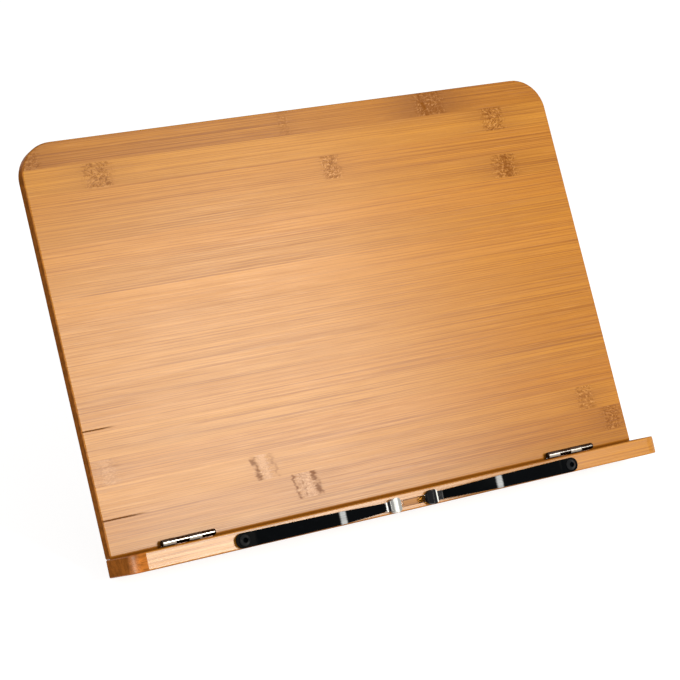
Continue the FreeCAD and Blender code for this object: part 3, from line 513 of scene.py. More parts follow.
def bamboo(name, spot, tilt, grain="X", top=0.0, nodes=(), bands=(), seams=(), shades=(),
           turns=(0.45, 0.75) * 2, groove_at=None, painted_shade_edge=None, cut_from=None, painted_fade=0.0, sheen=0.18,
           warmth=0.0, ends=1.0, seed=0.0):
    """Laminated bamboo with a satin lacquer. The grain runs along X or Y of the piece's frame and the
    strips are counted down from the top. The turns say how far a face turns to either end of the grain
    before it shows end grain, groove_at where a groove is, whose floor and rims, and the piece's top face,
    are painted darker as painted shade, painted_shade_edge how high the painted shade along the front's lower
    edge reaches, cut_from where the end grain starts at the near end, fade how much darker the fibres get
    towards the far end as painted shade, sheen how much of the lamps the lacquer mirrors, warmth how orange
    the wood is, ends how pale its end grain is, and the seed where its patterns start."""
    tone = colours()
    strip = sizes().strip
    finish = Finish(name)
    rise, ramp, blend, noise, stretch = finish.rise, finish.ramp, finish.blend, finish.noise, finish.stretch
    most, least, gather = finish.most, finish.least, finish.gather
    point = finish.split(finish.place(spot, tilt))
    facing = finish.facing(tilt)
    along, across = (point[0], point[1]) if grain == "X" else (point[1], point[0])
    end_facing = facing[0] if grain == "X" else facing[1]
    deep = point[2]

    # Strips: which one, how far into it, and what differs from one to the next
    count = (top - across) / strip
    number = finish.math("FLOOR", count)
    into = finish.math("FRACT", count)
    own_tone = finish.chance(finish.join(number, seed, 3.0))
    own_warmth = finish.chance(finish.join(number, seed, 8.0))
    own_along = along + own_tone * 400.0

    # Fibres: long streaks, fine dark hairs, short threads, pores and pale wisps, almost straight
    base = finish.join(own_along, across, deep)
    line = across + (noise(stretch(base, 130, 30, 30), 1.0) - 0.5) * 0.4
    fibre = finish.join(own_along, line, deep)
    broad, streak, hair, thread, pore, wisp = (
        noise(stretch(fibre, *lengths, begin + seed), detail, rough)
        for *lengths, begin, detail, rough in FIBRES.values())
    shade = rise(streak, 0.38, 0.62, 0.0, 0.22) + ramp(thread, 0.3, 0.7, 0.0, 0.32)
    shade += rise(hair, 0.52, 0.62, 0.0, 0.42)
    shade += ramp(broad, 0.35, 0.65, -0.04, 0.10)
    shade += ramp(own_tone, 0.0, 1.0, -0.14, 0.12)
    # Darker towards the far end along the grain: painted shade
    if painted_fade:
        shade += ramp(along, 0.0, BOARD_HALF, 0.0, painted_fade)
    for strip_number, extra in shades:
        shade += finish.math("COMPARE", number, strip_number, 0.5) * extra
    darkest = 1.3
    shade = least(most(shade, 0.0), darkest)
    surface = blend(least(shade, 1.0), tone.bamboo_light, tone.bamboo_dark)
    surface = blend(ramp(shade, 0.8, darkest, 0.0, 0.5), surface, tone.node_brown)
    warmer = blend(1.0, surface, (1.04, 0.92, 0.78), "MULTIPLY")
    surface = blend(ramp(own_warmth, 0.0, 1.0, 0.0, 0.4), surface, warmer)
    surface = blend(rise(pore, 0.58, 0.72) * 0.18, surface, tone.node_brown)
    surface = blend(rise(wisp, 0.60, 0.74) * 0.20, surface, tone.node_pale)
    if warmth:
        surface = blend(warmth, surface, blend(1.0, surface, (1.02, 0.86, 0.62), "MULTIPLY"))

    # Glue lines: almost closed, a little open in places. Open seams: dark and dull
    edge = least(into, 1.0 - into) * strip
    patchy = rise(noise(stretch(base, 34, 9, 9, 4.4), 1.0), 0.42, 0.66, 0.04, 0.34)
    groove = rise(edge, 0.05, 0.24, 1.0, 0.0) * patchy
    surface = blend(groove, surface, tone.node_brown)
    dull = 0.0
    for middle, level, half in seams:
        gap = rise(abs(across - level), 0.20, 0.62, 1.0, 0.0)
        gap *= rise(abs(along - middle), half * 0.5, half, 1.0, 0.0)
        surface = blend(gap * 0.8, surface, (0.06, 0.018, 0.006))
        groove = most(groove, gap)
        dull = most(gap, dull)

    # Growth nodes: each darkens its own strip only, with slanting specks, bands and pale wisps
    relief = thread * 0.5
    if nodes:
        middle_off = (into - 0.5) * strip
        jitter = noise(stretch(base, 3.5, 1.4, 4)) - 0.5
        within = rise(edge, 0.1, 0.5)

        def own_strip(level):
            return finish.math("COMPARE", number, math.floor((top - level) / strip), 0.5) * within

        brown, pale, around = 0.0, 0.0, 0.0
        for middle, level, half, browns, pales, arounds in nodes:
            here = own_strip(level)
            spread = abs(along - middle) + jitter * (half * 1.1)
            core = rise(spread, half * 0.4, half * 1.1, 1.0, 0.0) * here
            halo = rise(spread, half * 0.4, half * 3.4, 1.0, 0.0) * here
            brown = gather(core, browns, brown)
            pale = gather(core, pales, pale)
            around = gather(halo, arounds, around)
        slant = along + abs(middle_off + jitter * 6.0) * 0.7
        strokes = noise(finish.join(slant / 1.25, across / 1.5, number), 2.0, 0.7, 0.5)
        marks = rise(strokes, 0.43, 0.60) * brown
        ragged = noise(stretch(base, 7.0, 1.1, 4, 2.0), 1.0) - 0.5
        patchy_band = rise(noise(stretch(base, 4.0, 3.0, 4, 8.0), 1.0), 0.32, 0.52, 0.25, 1.0)
        slanted = gather(ragged, 5.0, along) - middle_off * 0.17
        flushed = 0.0
        for middle, level, half, browns, pinks in bands:
            here = own_strip(level) * rise(abs(slanted - middle), half * 0.3, half * 1.4, 1.0, 0.0)
            if browns:
                marks = gather(here * patchy_band, browns, marks)
            flushed = gather(here, pinks, flushed)
        surface = blend(around * 0.5, surface, tone.node_brown)
        surface = blend(flushed, surface, tone.node_pink)
        surface = blend(rise(strokes, 0.46, 0.32) * pale, surface, tone.node_pale)
        surface = blend(marks, surface, tone.node_brown)
        relief -= marks * 0.4
        dull = most(marks * 0.6, dull)

    # Cut ends: dark, with the dots of the fibre bundles, and darker still where they are flat, which is
    # painted shade on the side faces
    dotted = rise(finish.cells(stretch(base, 30, 0.62, 0.62)), 0.18, 0.42, 1.0, 0.0)
    cloud = noise(stretch(base, 12, 3.2, 3.2, 2.2), 1.0)
    dark_end = tinted(tone.end_grain, ends)
    cut = blend(ramp(cloud, 0.3, 0.7), dark_end, tinted(dark_end, 1.9))
    cut = blend(dotted * 0.55, cut, tinted(dark_end, 0.45))
    turned = most(rise(end_facing * -1.0, turns[0], turns[1]), rise(end_facing, turns[2], turns[3]))
    rougher = turned * 0.10
    # Flat end faces are painted darker still: painted shade
    cut = blend(rise(abs(end_facing), 0.90, 0.99) * 0.45, cut, tinted(dark_end, 0.4))
    dim = rise(abs(end_facing), 0.80, 0.98)
    if cut_from is not None:
        near_end = rise(along, cut_from + 0.3, cut_from) * rise(facing[1], -0.90, -0.60)
        turned = most(turned, near_end)
        bent = rise(end_facing * -1.0, 0.30, 0.50)
        rougher = bent * 0.02
        dim = most(dim, near_end * (1.0 - bent))
    surface = blend(turned, surface, cut)

    # Painted shade: the groove's floor and rims, the top of the ledge and the board's lower edge are painted
    # darker and made dull, where the shade falls
    if groove_at:
        groove_half, groove_level, groove_tall, groove_front = groove_at
        upright = abs(across - groove_level)
        inside = rise(abs(along), groove_half, groove_half - 0.3)
        inside *= finish.math("LESS_THAN", deep, groove_front)
        inside *= rise(upright, groove_tall + 0.3, groove_tall)
        # Dark lines along the groove's rims: painted shadow
        rim_shadow = inside * rise(upright, groove_tall - 0.9, groove_tall - 0.1)
        surface = blend(inside * 0.45, surface, tone.bamboo_dark)
        surface = blend(rim_shadow * 0.85, surface, tone.node_brown)
        # The ledge's top face is painted darker: painted shade
        top_face_shade = rise(facing[1], 0.60, 0.90)
        surface = blend(top_face_shade * 0.35, surface, dark_end)
        dim = most(most(inside * 0.7, top_face_shade), dim)
    # The board's lower edge is painted dark brown and without shine: painted shade where it meets the ledge
    if painted_shade_edge:
        low = rise(across, painted_shade_edge, painted_shade_edge - 0.9) * rise(deep, -2.5, -1.0)
        surface = blend(low * 0.62, surface, tone.node_brown)
        dim = most(low, dim)

    # Lacquer: satin, a little uneven, with the fibres just felt through it, and quieter at a grazing angle
    smear = noise(stretch(base, 60, 40, 40, 6.2), 2.0)
    gloss = ramp(streak, 0.36, 0.64, 0.22, 0.26) + ramp(smear, 0.3, 0.7, -0.01, 0.012)
    gloss += ramp(thread, 0.3, 0.7, -0.02, 0.03)
    gloss += rougher
    height = relief + pore * 0.15 - groove * 1.2 - dotted * turned * 0.6
    grazing = finish.node("LayerWeight", {"Blend": 0.5}).outputs["Facing"]
    shine = (1.0 - most(dim, dull)) * rise(grazing, 0.30, 0.80, sheen, sheen * 0.06)
    return finish.close(Base_Color=surface, Roughness=gloss, IOR=1.5, Specular_IOR_Level=shine,
                        Normal=finish.bump(height, 0.016, 0.8))


def plated(name, base_colour, rough, brush=(6.0, 6.0, 6.0), seed=0.0, felt=0.012, metal=1.0, corner=None,
           under=False, foot=None):
    """Bright plating: fine wiping marks, faint stains and a softly uneven skin. Faces that turn up into a
    corner, given by its tilt, are painted brown as painted shade from that corner, where wanted those that
    turn down are painted black as painted shade, and what lies below the foot, a height about the ledge
    hinges' axis, is painted dull brown as painted shade."""
    pit, foot_shade = (0.25, 0.21, 0.17), (0.16, 0.075, 0.045)
    corner_shade, underside_shade = (0.035, 0.014, 0.006), (0.010, 0.007, 0.005)
    finish = Finish(name)
    rise, ramp, blend = finish.rise, finish.ramp, finish.blend
    point = finish.place((0, 0, 0), 0.0)
    marks = finish.noise(finish.stretch(point, *brush, seed), 4.0, 0.7)
    stains = finish.noise(finish.stretch(point, 3.5, 3.5, 3.5, 2.0 + seed), 3.0)
    pits = finish.cells(finish.stretch(point, 0.7, 0.7, 0.7))
    surface = blend(ramp(stains, 0.35, 0.7, 0.0, 0.55), base_colour, tinted(base_colour, 0.72))
    surface = blend(rise(pits, 0.10, 0.03, 0.0, 0.5), surface, pit)
    if corner is not None:
        # Faces that turn up towards the corner are painted brown: painted shade
        up = finish.facing(corner)[1] + ramp(stains, 0.3, 0.7, -0.04, 0.04)
        surface = blend(rise(up, -0.04, 0.16), surface, corner_shade)
        # Faces that turn down are painted black: painted shade
        if under:
            surface = blend(rise(up, -0.18, -0.34), surface, underside_shade)
    # What lies below the foot is painted dull brown: painted shade
    if foot is not None:
        height = finish.split(finish.place(LEDGE_AXIS, LEDGE_TILT))[1]
        surface = blend(rise(height, foot + 0.08, foot - 0.08), surface, foot_shade)
    gloss = ramp(marks, 0.3, 0.7, rough - 0.05, rough + 0.07) + ramp(stains, 0.4, 0.7, 0.0, 0.08)
    return finish.close(Base_Color=surface, Metallic=metal, Roughness=gloss,
                        Normal=finish.bump(marks + stains * 0.6, felt, 0.6))


def painted(name, base_colour, crest=None, shine=0.025, recess=None):
    """Satin black paint on spring steel: fine orange peel and rub marks. At a clip's crest, given by its
    distance from the middle, a paler band is painted as the highlight on the bend. A recess, given by its
    radius about a clip's screw, doesn't shine."""
    finish = Finish(name)
    rise, ramp, blend = finish.rise, finish.ramp, finish.blend
    point = finish.place(BOARD_FOOT, LEDGE_TILT)
    x, y = finish.split(point)[:2]
    peel = finish.noise(finish.stretch(point, 0.5, 0.5, 0.5), 2.0)
    rubs = finish.noise(finish.stretch(point, 14, 0.35, 0.8, 3.0), 3.0, 0.6)
    cloud = finish.noise(finish.stretch(point, 9, 6, 6, 1.0), 2.0)
    surface = blend(rise(rubs, 0.55, 0.78, 0.0, 0.6), base_colour, tinted(base_colour, 3.0))
    surface = blend(ramp(cloud, 0.3, 0.7, 0.0, 0.4), surface, tinted(base_colour, 0.6))
    gloss = ramp(rubs, 0.3, 0.75, 0.27, 0.40) + ramp(cloud, 0.3, 0.7, -0.02, 0.03)
    # A painted highlight: a paler band along the crest's bend
    if crest:
        off = abs(abs(x) - crest) + (rubs - 0.5) * 0.8
        highlight_grey = blend(ramp(rubs, 0.3, 0.7), (0.40, 0.41, 0.43), (0.26, 0.27, 0.29))
        surface = blend(rise(off, 1.0, 2.6, 1.0, 0.0), surface, highlight_grey)
    if recess:
        off = finish.join(abs(x) - CLIP_PIVOT[0], y - CLIP_PIVOT[1], 0.0)
        out = finish.node("VectorMath", {0: off}, operation="LENGTH").outputs["Value"]
        shine = rise(out, recess - 0.15, recess + 0.15, 0.0, shine)
    return finish.close(Base_Color=surface, Roughness=gloss, IOR=1.45, Specular_IOR_Level=shine,
                        Normal=finish.bump(peel, 0.010, 0.5))


def clear(name, base_colour, bend, through=1.0, stripes=()):
    """Clear soft vinyl with faint flow lines and finger marks. The stripes, each with its place before the
    cap's middle, half width, colour and share of gloss, are painted: pale ones are painted highlights, dark
    ones paint the black arm as seen through the vinyl."""
    finish = Finish(name)
    point = finish.place(BOARD_FOOT, LEDGE_TILT)
    flow = finish.noise(finish.stretch(point, 2.6, 1.1, 1.1), 3.0, 0.6, 0.8)
    prints = finish.noise(finish.stretch(point, 1.4, 0.3, 0.6, 4.0), 2.0)
    surface = finish.blend(finish.ramp(flow, 0.35, 0.7, 0.0, 0.5), base_colour, tinted(base_colour, 0.9))
    before = abs(finish.split(point)[0]) - (CLIP_PIVOT[0] - sizes().clip_reach) + (flow - 0.5) * 0.5
    bare = 1.0
    for spot, half, tint, kept in stripes:
        here = finish.rise(abs(before - spot), half * 0.6, half * 1.25, 1.0, 0.0)
        surface = finish.blend(here, surface, tint)
        bare = finish.gather(here, kept - bare, bare)
    if stripes:
        through, shine = bare * through, bare * 0.10
    else:
        shine = 0.5
    return finish.close(Base_Color=surface, Roughness=finish.ramp(prints, 0.35, 0.7, 0.04, 0.14), IOR=bend,
                        Transmission_Weight=through, Specular_IOR_Level=shine,
                        Normal=finish.bump(flow, 0.02, 0.5))


def dress(material, *nodes):
    """Gives CAD nodes a material."""
    for name in nodes:
        coat(frame["nodes"][name], material)


# Operators

class FinishBamboo(bpy.types.Operator):
    """Finish the board, the ledge, the batten and the leg in lacquered bamboo"""
    bl_idname = "book_stand.finish_bamboo"
    bl_label = "Finish the bamboo"

    def execute(self, context):
        dress(bamboo("board_bamboo", BOARD_FOOT, BOARD_TILT, top=BOARD_TOP, nodes=BOARD_NODES,
                     bands=BOARD_BANDS, seams=BOARD_SEAMS, shades=BOARD_SHADES, painted_shade_edge=2.0, painted_fade=0.16),
              "board")
        dress(bamboo("ledge_bamboo", BOARD_FOOT, LEDGE_TILT, top=2.0, turns=(0.03, 0.10, 0.75, 0.95),
                     groove_at=LEDGE_GROOVE, cut_from=-161.0, sheen=0.34, ends=1.15, seed=4.0), "ledge")
        dress(bamboo("batten_bamboo", BOARD_FOOT, BOARD_TILT, top=197.0, warmth=0.2, seed=9.0), "leg_batten")
        dress(bamboo("leg_bar_bamboo", LEG_AXIS, LEG_TILT, top=2.0, warmth=0.1, seed=13.0),
              "leg_head", "leg_foot_bar")
        dress(bamboo("leg_rail_bamboo", LEG_AXIS, LEG_TILT, "Y", top=100.0, seed=17.0),
              "leg_rail_left", "leg_rail_right")
        return {"FINISHED"}


class FinishFixings(bpy.types.Operator):
    """Finish the screws, pins, washers, saddles and the wire stay"""
    bl_idname = "book_stand.finish_fixings"
    bl_label = "Finish the fixings"

    def execute(self, context):
        tone = colours()
        nodes = frame["nodes"]
        nickel = plated("screw_nickel", tone.nickel, 0.22, (2.0, 0.5, 2.0), 5.0)
        dress(nickel, *(name for name in nodes if name.endswith(("_screws", "_pin"))))
        # Near-black pins: painted shade where the rolled knuckles stand open
        dress(plated("pin_painted_dark", tone.steel, 0.42, (2.0, 0.5, 2.0), 6.0), "ledge_hinge_left_pin",
              "ledge_hinge_right_pin")
        dress(plated("wire_zinc", tone.zinc, 0.30, (5.0, 0.6, 0.6), 8.0), "stay_wire")
        dress(plated("saddle_zinc", tone.zinc, 0.34, (0.5, 6.0, 6.0), 11.0), "stay_saddle_left",
              "stay_saddle_right")
        dress(painted("washer_black", tone.paint), "clip_left_washer", "clip_right_washer")
        return {"FINISHED"}


def plain_leaf(name, low, side, owned, countersink_up):
    """One hinge leaf about its pin's axis, X along the pin: a thin sheet with two of the four knuckles
    rolled from it. The sheet's underside lies at Y = low and it reaches to the given side of Z."""
    size = sizes()
    long, thick = size.hinge_length, size.leaf_thick
    knuckles = 4
    corner_round = 0.5
    screw_in, screw_off, hole, countersink = 6.2, 4.0, 0.95, 1.55
    clear_of_pin = size.barrel_radius + BARREL_ROOM
    curl = size.barrel_radius - thick / 2
    level = low + thick / 2
    depth = size.leaf_depth - clear_of_pin
    piece = sheet(name, long, depth, level, side * (clear_of_pin + depth / 2))

    knuckle = long / knuckles
    spans = []
    for index in range(knuckles):
        left = -long / 2 + index * knuckle + (size.knuckle_gap / 2 if index else 0)
        right = -long / 2 + (index + 1) * knuckle - (size.knuckle_gap / 2 if index < knuckles - 1 else 0)
        if index in owned:
            spans.append((left, right))
        for border in (left, right):
            slice_at(border)

    # Each owned knuckle leaves the sheet, meets the barrel and is rolled round it: a sheet below the barrel
    # passes under it and up its far side, a sheet behind it goes over the top and stops short of closing
    if level < -curl:
        enter_y, enter_z = -curl, 0.0
        roll = side * math.radians(338)
    else:
        enter_y, enter_z = level, side * math.sqrt(curl ** 2 - level ** 2)
        roll = -side * (math.radians(184) - math.asin(enter_y / curl))
    for left, right in spans:
        pick("EDGE", lambda c: near(c.z, side * clear_of_pin) and left - 1e-3 < c.x < right + 1e-3)
        push(y=enter_y - level, z=enter_z - side * clear_of_pin)
        bpy.ops.mesh.spin(steps=30, angle=roll, center=(0, 0, 0), axis=(1, 0, 0))
    far = side * size.leaf_depth
    pick("VERT", lambda c: near(c.z, far) and near(abs(c.x), long / 2))
    bpy.ops.mesh.bevel(offset=corner_round, segments=4, affect="VERTICES")
    choose_all()
    bpy.ops.mesh.dissolve_limited(angle_limit=math.radians(0.5))
    finish_edit()
    thicken(piece, thick)
    for way in (-1, 1):
        deselect()
        below, above = (hole, countersink) if countersink_up else (countersink, hole)
        bpy.ops.mesh.primitive_cone_add(
            vertices=32, radius1=below, radius2=above, depth=thick + 0.1, rotation=(-math.pi / 2, 0, 0),
            location=(way * (long / 2 - screw_in), level, side * (clear_of_pin + screw_off)))
        carve(piece, bpy.context.object)
    soften(piece, 0.07, 2, 40)
    return piece


class ModelGapShadeStrip(bpy.types.Operator):
    """Model a thin dark strip under the board's lower edge, which stops short of the hinges: a dark sheet put
    in the gap to the ledge where there is only shade, so that the gap shows dark
    """
    bl_idname = "book_stand.model_edge_bead"
    bl_label = "Model the edge bead"

    def execute(self, context):
        thick, back, front, sunk, short = 0.33, -1.5, -0.5, 0.02, 0.1
        hinge_half = sizes().hinge_length / 2 + 0.6
        # A dark sheet in the gap under the board: painted shade
        gap_shade_strip = sheet("board_gap_shade_strip", 2 * (BOARD_HALF - short), front - back,
                     BOARD_FLOOR + sunk - thick / 2, (front + back) / 2)
        hinge_ends = [way * LEDGE_HINGE_OUT + end for way in (-1, 1) for end in (-hinge_half, hinge_half)]
        for border in (*hinge_ends, 0.0):
            slice_at(border)
        pick("FACE", lambda c: abs(abs(c.x) - LEDGE_HINGE_OUT) < hinge_half + 1e-3)
        bpy.ops.mesh.delete(type="FACE")
        finish_edit()
        thicken(gap_shade_strip, thick)
        soften(gap_shade_strip, 0.05, 2, 40)
        settle(gap_shade_strip, leaning(BOARD_FOOT, BOARD_TILT), "board", "bamboo",
               frame["nodes"]["board"].data.materials[0])
        return {"FINISHED"}


class ModelHinges(bpy.types.Operator):
    """Model the leaves of the ledge's and the leg's hinges, rolled from sheet"""
    bl_idname = "book_stand.model_hinges"
    bl_label = "Model the hinges"

    def execute(self, context):
        size = sizes()
        brush = (1.6, 0.35, 1.6)
        # The ledge leaves get a paler, less metallic copy of the nickel: a painted highlight. The board's and
        # the ledge's leaves also carry the painted shade of plated()
        pale = tuple(min(part * 1.8, 0.9) for part in colours().nickel)
        bright = plated("hinge_nickel", colours().nickel, 0.18, brush, felt=0.002, corner=BOARD_TILT,
                        under=True)
        satin = plated("hinge_painted_pale", pale, 0.25, brush, felt=0.002, metal=0.45, corner=BOARD_TILT,
                       foot=-1.58)
        plain = plated("hinge_plain", tinted(colours().nickel, 1.4), 0.25, brush)
        leaf_metals = {"board_leaf": bright, "ledge_leaf": satin, "batten_leaf": plain, "leg_leaf": plain}

        # A leaf lies on the wood under its barrel, but a ledge hinge's board leaf slips in under the board
        under = -(size.barrel_radius + BARREL_ROOM)
        slip = size.leaf_thick + STOP_GAP + BOARD_THICK * math.tan(LEDGE_TILT - BOARD_TILT) - LEDGE_AXIS_UP
        ledge_hinge = ("ledge_hinge", LEDGE_AXIS, LEDGE_HINGE_OUT)
        leg_hinge = ("leg_hinge", LEG_AXIS, LEG_HINGE_OUT)
        quarter = math.pi / 2
        kinds = (
            (*ledge_hinge, "board_leaf", "board", BOARD_TILT, slip, -1, (1, 3), False),
            (*ledge_hinge, "ledge_leaf", "ledge", LEDGE_TILT, under, -1, (0, 2), True),
            (*leg_hinge, "batten_leaf", "board", BOARD_TILT - quarter, under, 1, (1, 3), True),
            (*leg_hinge, "leg_leaf", "leg", LEG_TILT - quarter, under, -1, (0, 2), True),
        )
        for hinge, axis, out, leaf, body, tilt, low, side, owned, up in kinds:
            first = plain_leaf(f"{hinge}_left_{leaf}_rolled", low, side, owned, up)
            second = twin(first, f"{hinge}_right_{leaf}_rolled")
            for piece, hand, way in ((first, "left", -1), (second, "right", 1)):
                place = leaning(axis + Vector((way * out * MM, 0, 0)), tilt)
                settle(piece, place, body, "hinge_metal", leaf_metals[leaf], f"{hinge}_{hand}_{leaf}")
        return {"FINISHED"}


def strip_along(name, stations):
    """A flat strip drawn out along X through a list of (reach, height, half width)."""
    reach, height, half = stations[0]
    strip = start(name, bpy.ops.mesh.primitive_plane_add, size=1.0)
    pick("VERT", lambda c: c.x > 0)
    bpy.ops.mesh.delete(type="VERT")
    choose_all()
    bpy.ops.transform.translate(value=(reach + 0.5, 0, height))
    resize((1, 2 * half, 1), (reach, 0, height))
    for next_reach, next_height, next_half in stations[1:]:
        push(x=next_reach - reach, z=next_height - height)
        resize((1, next_half / half, 1), (next_reach, 0, next_height))
        reach, height, half = next_reach, next_height, next_half
    return strip


def clip_place(way):
    """Where a clip's screw meets the ledge's front, in the ledge's frame."""
    pivot = Vector((-way * CLIP_PIVOT[0], *CLIP_PIVOT[1:])) * MM
    return leaning(BOARD_FOOT, LEDGE_TILT) @ Matrix.Translation(pivot)


class ModelClips(bpy.types.Operator):
    """Model the bowed spring arms of the two page clips"""
    bl_idname = "book_stand.model_clips"
    bl_label = "Model the page clips"

    def execute(self, context):
        size = sizes()
        root, crest, fall, tip = 7.0, size.clip_reach - 38.3, size.clip_reach - 7.8, size.clip_reach - 7.5
        low, high, rest = 1.4, 12.6, 1.8
        collar, paddle = size.clip_reach - 6.3, 3.0
        stations = []
        for step in range(1, 9):
            angle = math.radians(90 * step / 8)
            stations.append((-0.8 - 4.1 * math.cos(angle), low, 4.1 * math.sin(angle)))
        slope = (rest - high) / (tip - crest)
        stations += [
            (root, low, 4.02),
            (crest, high, 3.5),
            (fall, high + slope * (fall - crest), 2.45),
            (tip, rest, 2.35),
            (collar - 0.05, rest, 1.7),
            (size.clip_reach - math.sqrt(paddle ** 2 - 1.7 ** 2), rest, 1.7),
        ]
        first_angle = 180 - math.degrees(math.asin(1.7 / paddle))
        for step in range(1, 9):
            angle = math.radians(first_angle * (1 - step / 8))
            half = max(paddle * math.sin(angle), 0.05)
            stations.append((size.clip_reach + paddle * math.cos(angle), rest, half))
        piece = strip_along("clip_left_arm_bowed", stations)
        for bend, turn in ((root, 13.1), (crest, 32.4), (tip, 19.3)):
            pick("EDGE", lambda c: near(c.x, bend, 0.01))
            bpy.ops.mesh.bevel(offset=size.clip_bend * math.tan(math.radians(turn / 2)), segments=8,
                               clamp_overlap=True)
        finish_edit()
        thicken(piece, size.clip_thick)
        soften(piece, size.edge_round, 3, 40)
        other = mirrored(piece, "clip_right_arm_bowed")
        material = painted("clip_black", colours().paint, CLIP_PIVOT[0] - crest, shine=0.008)
        for arm, hand, way in ((piece, "left", 1), (other, "right", -1)):
            settle(arm, clip_place(way), f"clip_{hand}", "clip_black", material, f"clip_{hand}_arm")
        return {"FINISHED"}


class ModelCaps(bpy.types.Operator):
    """Finish the clear caps of the page clips and model the thin lip at the end of each"""
    bl_idname = "book_stand.model_caps"
    bl_label = "Finish the clear caps"

    def execute(self, context):
        size = sizes()
        # The caps' stripes are painted: pale ones are painted highlights, near-black ones paint the arm seen
        # through the vinyl, and the two caps get different stripes
        arm_shown_dark, highlight_grey, highlight_white = (0.012, 0.012, 0.014), (0.30, 0.30, 0.30), (0.85, 0.86, 0.86)
        dress(clear("cap_vinyl_left", colours().vinyl, 1.40, 0.25,
                    ((2.6, 1.0, highlight_grey, 0.6), (0.6, 1.2, highlight_white, 1.0), (-2.0, 1.5, highlight_grey, 0.4),
                     (4.5, 1.1, arm_shown_dark, 0.0))), "clip_left_cap")
        dress(clear("cap_vinyl_right", colours().vinyl, 1.40, 0.10,
                    ((0.0, 9.0, arm_shown_dark, 0.12), (2.3, 0.6, highlight_white, 1.0))), "clip_right_cap")
        vinyl = clear("cap_vinyl_lip", colours().vinyl, 1.14)
        middle, thick = 1.1, 0.9
        rounding = ((3.4, 2.3), (4.2, 2.2), (4.9, 1.8), (5.4, 1.2), (5.6, 0.5))
        lip = strip_along("clip_left_cap_lip",
                          [(size.clip_reach + reach, middle, half) for reach, half in rounding])
        finish_edit()
        thicken(lip, thick)
        soften(lip, 0.2, 3, 40)
        other = mirrored(lip, "clip_right_cap_lip")
        for piece, hand, way in ((lip, "left", 1), (other, "right", -1)):
            settle(piece, clip_place(way), f"clip_{hand}", "clear_cap", vinyl)
        return {"FINISHED"}


class ModelClipScrews(bpy.types.Operator):
    """Model the dome-head screws that the page clips turn on"""
    bl_idname = "book_stand.model_clip_screws"
    bl_label = "Model the clip screws"

    def execute(self, context):
        seat, head, rise, shank = 2.0, 3.1, 1.9, 1.6
        bow = (head ** 2 + rise ** 2) / (2 * rise)
        stations = [(0, seat - 14), (0.5, seat - 13.4), (shank, seat - 12.2), (shank, seat),
                    (head - 0.25, seat), (head, seat + 0.2), (head - 0.05, seat + 0.5)]
        for step in range(1, 9):
            level = 0.5 + (rise - 0.5) * math.sin(math.radians(90 * step / 9))
            reach = math.sqrt(max(bow ** 2 - (level + bow - rise) ** 2, 0.0))
            stations.append((reach, seat + level))
        piece = lathe("clip_left_screw_dome", stations, 48)
        star = start("star", bpy.ops.mesh.primitive_circle_add, vertices=12, radius=1.5, fill_type="NGON",
                     location=(0, 0, seat + rise - 1.1))
        for index in range(1, 12, 2):
            angle = math.radians(30 * index)
            corner = Vector((-math.sin(angle) * 1.5, math.cos(angle) * 1.5))
            pick("VERT", lambda c: (Vector((c.x, c.y)) - corner).length < 0.05)
            resize((0.64, 0.64, 1), (0, 0, 0))
        choose_all()
        push(z=2.0)
        finish_edit()
        carve(piece, star)
        soften(piece, 0.08, 2, 38)
        other = twin(piece, "clip_right_screw_dome")
        material = painted("clip_screw_black", colours().paint, shine=0.22, recess=1.5)
        for screw, hand, way in ((piece, "left", 1), (other, "right", -1)):
            settle(screw, clip_place(way), "ledge", "clip_black", material, f"clip_{hand}_screw")
        return {"FINISHED"}


# The lamps: name, the spot that each is mirrored from in a face's frame, that face's tilt and its turn to
# the side, then distance, width, height and radiance
LAMP_TINT = (1.0, 0.97, 0.86)
LAMPS = (
    ("key_softbox", (-95, 62, 0), BOARD_TILT, 0.0, 1.7, 0.54, 0.54, 25.0),
    ("ledge_softbox", (-95, -5, 28.6), LEDGE_TILT, 0.0, 1.5, 0.62, 0.10, 28.0),
    ("side_softbox", (-168, -5, 26), LEDGE_TILT, math.radians(-44), 1.4, 0.75, 0.45, 6.0),
)


def softbox(name, spot, way, distance, width, height, radiance):
    """An area lamp that lies in a direction from a spot and looks back at it."""
    lamp = bpy.data.lights.new(name, "AREA")
    lamp.shape = "RECTANGLE"
    lamp.size, lamp.size_y = width, height
    lamp.color = LAMP_TINT
    lamp.energy = radiance * math.pi * width * height
    holder = bpy.data.objects.new(name, lamp)
    holder.location = spot + way.normalized() * distance
    holder.rotation_euler = (-way).to_track_quat("-Z", "Y").to_euler()
    bpy.context.scene.collection.objects.link(holder)


def is_seen(finish):
    """1 for what the camera, a mirror or clear matter sees, 0 for what only lights the object."""
    path = finish.node("LightPath").outputs
    seen = finish.most(path["Is Camera Ray"], path["Is Glossy Ray"])
    return finish.most(seen, path["Is Transmission Ray"])


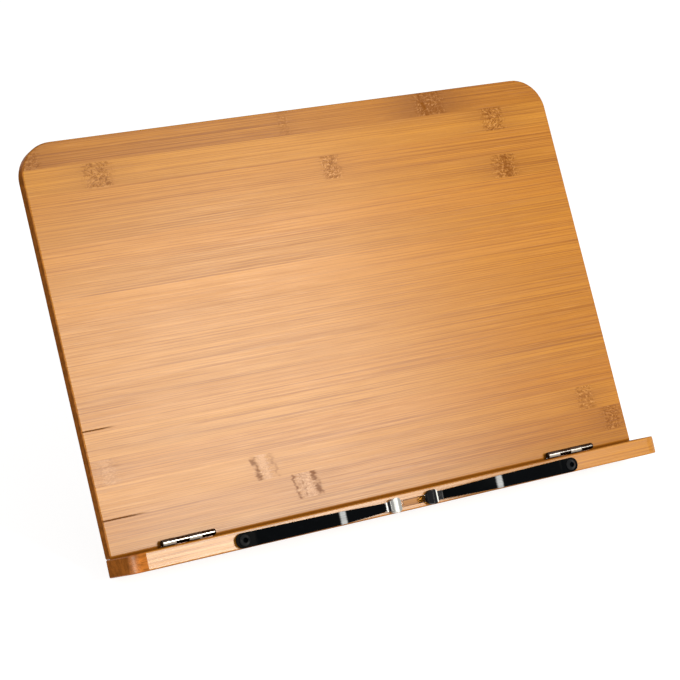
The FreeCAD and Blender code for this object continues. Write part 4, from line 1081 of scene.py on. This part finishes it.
class SetStage(bpy.types.Operator):
    """Set the floor, the backdrop, the lamps and the camera"""
    bl_idname = "book_stand.set_stage"
    bl_label = "Set the stage"

    def execute(self, context):
        deselect()
        bpy.ops.mesh.primitive_grid_add(x_subdivisions=8, y_subdivisions=8, size=14)
        floor = context.object
        floor.name = "floor"
        finish = Finish("floor_paper")
        plain = finish.node("BsdfDiffuse", {"Color": (0.80, 0.80, 0.80, 1)}).outputs[0]
        shadowed = finish.node("BsdfDiffuse", {"Color": (0.36, 0.36, 0.36, 1)}).outputs[0]
        glow = finish.node("Emission", {"Color": (1, 1, 1, 1), "Strength": 0.87}).outputs[0]
        shown = finish.node("AddShader", {0: shadowed, 1: glow}).outputs[0]
        both = finish.node("MixShader", {0: is_seen(finish), 1: plain, 2: shown})
        floor.data.materials.append(finish.end(both))

        fill = 0.38
        sky = Finish("studio", "worlds")
        light = is_seen(sky) * (1.0 - fill) + fill
        context.scene.world = sky.end(sky.node("Background", {"Color": (1, 1, 1, 1), "Strength": light}),
                                      "OutputWorld")

        # Each lamp lies where a face mirrors it to the camera: the board's lower left, the ledge's front and
        # the ledge's rounded left end, which is turned away from the front
        for name, place, tilt, turn, distance, width, height, radiance in LAMPS:
            spot = BOARD_FOOT + Matrix.Rotation(tilt, 3, "X") @ (Vector(place) * MM)
            seen = (Vector(CAMERA_AT) - spot).normalized()
            outwards = Matrix.Rotation(tilt, 3, "X") @ Matrix.Rotation(turn, 3, "Y") @ Vector((0, 0, 1))
            softbox(name, spot, 2 * seen.dot(outwards) * outwards - seen, distance, width, height, radiance)

        camera = bpy.data.cameras.new("camera")
        camera.sensor_width = 36
        camera.sensor_fit = "HORIZONTAL"
        camera.lens = LENS_PIXELS * camera.sensor_width / PICTURE
        camera.clip_start, camera.clip_end = 0.05, 50
        holder = bpy.data.objects.new("camera", camera)
        holder.location = CAMERA_AT
        holder.rotation_euler = [math.radians(angle) for angle in CAMERA_TURN]
        context.scene.collection.objects.link(holder)
        context.scene.camera = holder
        context.scene.view_settings.view_transform = "Standard"
        return {"FINISHED"}


OPERATORS = (FinishBamboo, FinishFixings, ModelGapShadeStrip, ModelHinges, ModelClips, ModelCaps,
             ModelClipScrews, SetStage)


class BookStandPanel(bpy.types.Panel):
    """The book stand's sizes, colours and steps"""
    bl_idname = "VIEW3D_PT_book_stand"
    bl_label = "Book Stand"
    bl_space_type = "VIEW_3D"
    bl_region_type = "UI"
    bl_category = "Book Stand"

    def draw(self, context):
        for group in (sizes(), colours()):
            box = self.layout.box()
            for name in group.__annotations__:
                box.prop(group, name)
        for operator in OPERATORS:
            self.layout.operator(operator.bl_idname)


CLASSES = (StandSizes, StandColours, *OPERATORS, BookStandPanel)


def register():
    for each in CLASSES:
        bpy.utils.register_class(each)
    bpy.types.Scene.stand_sizes = bpy.props.PointerProperty(type=StandSizes)
    bpy.types.Scene.stand_colours = bpy.props.PointerProperty(type=StandColours)


def unregister():
    del bpy.types.Scene.stand_colours
    del bpy.types.Scene.stand_sizes
    for each in reversed(CLASSES):
        bpy.utils.unregister_class(each)


def main():
    register()
    bpy.ops.book_stand.finish_bamboo()
    bpy.ops.book_stand.finish_fixings()
    bpy.ops.book_stand.model_edge_bead()
    bpy.ops.book_stand.model_hinges()
    bpy.ops.book_stand.model_clips()
    bpy.ops.book_stand.model_caps()
    bpy.ops.book_stand.model_clip_screws()
    bpy.ops.book_stand.set_stage()


if __name__ == "__main__":
    main()
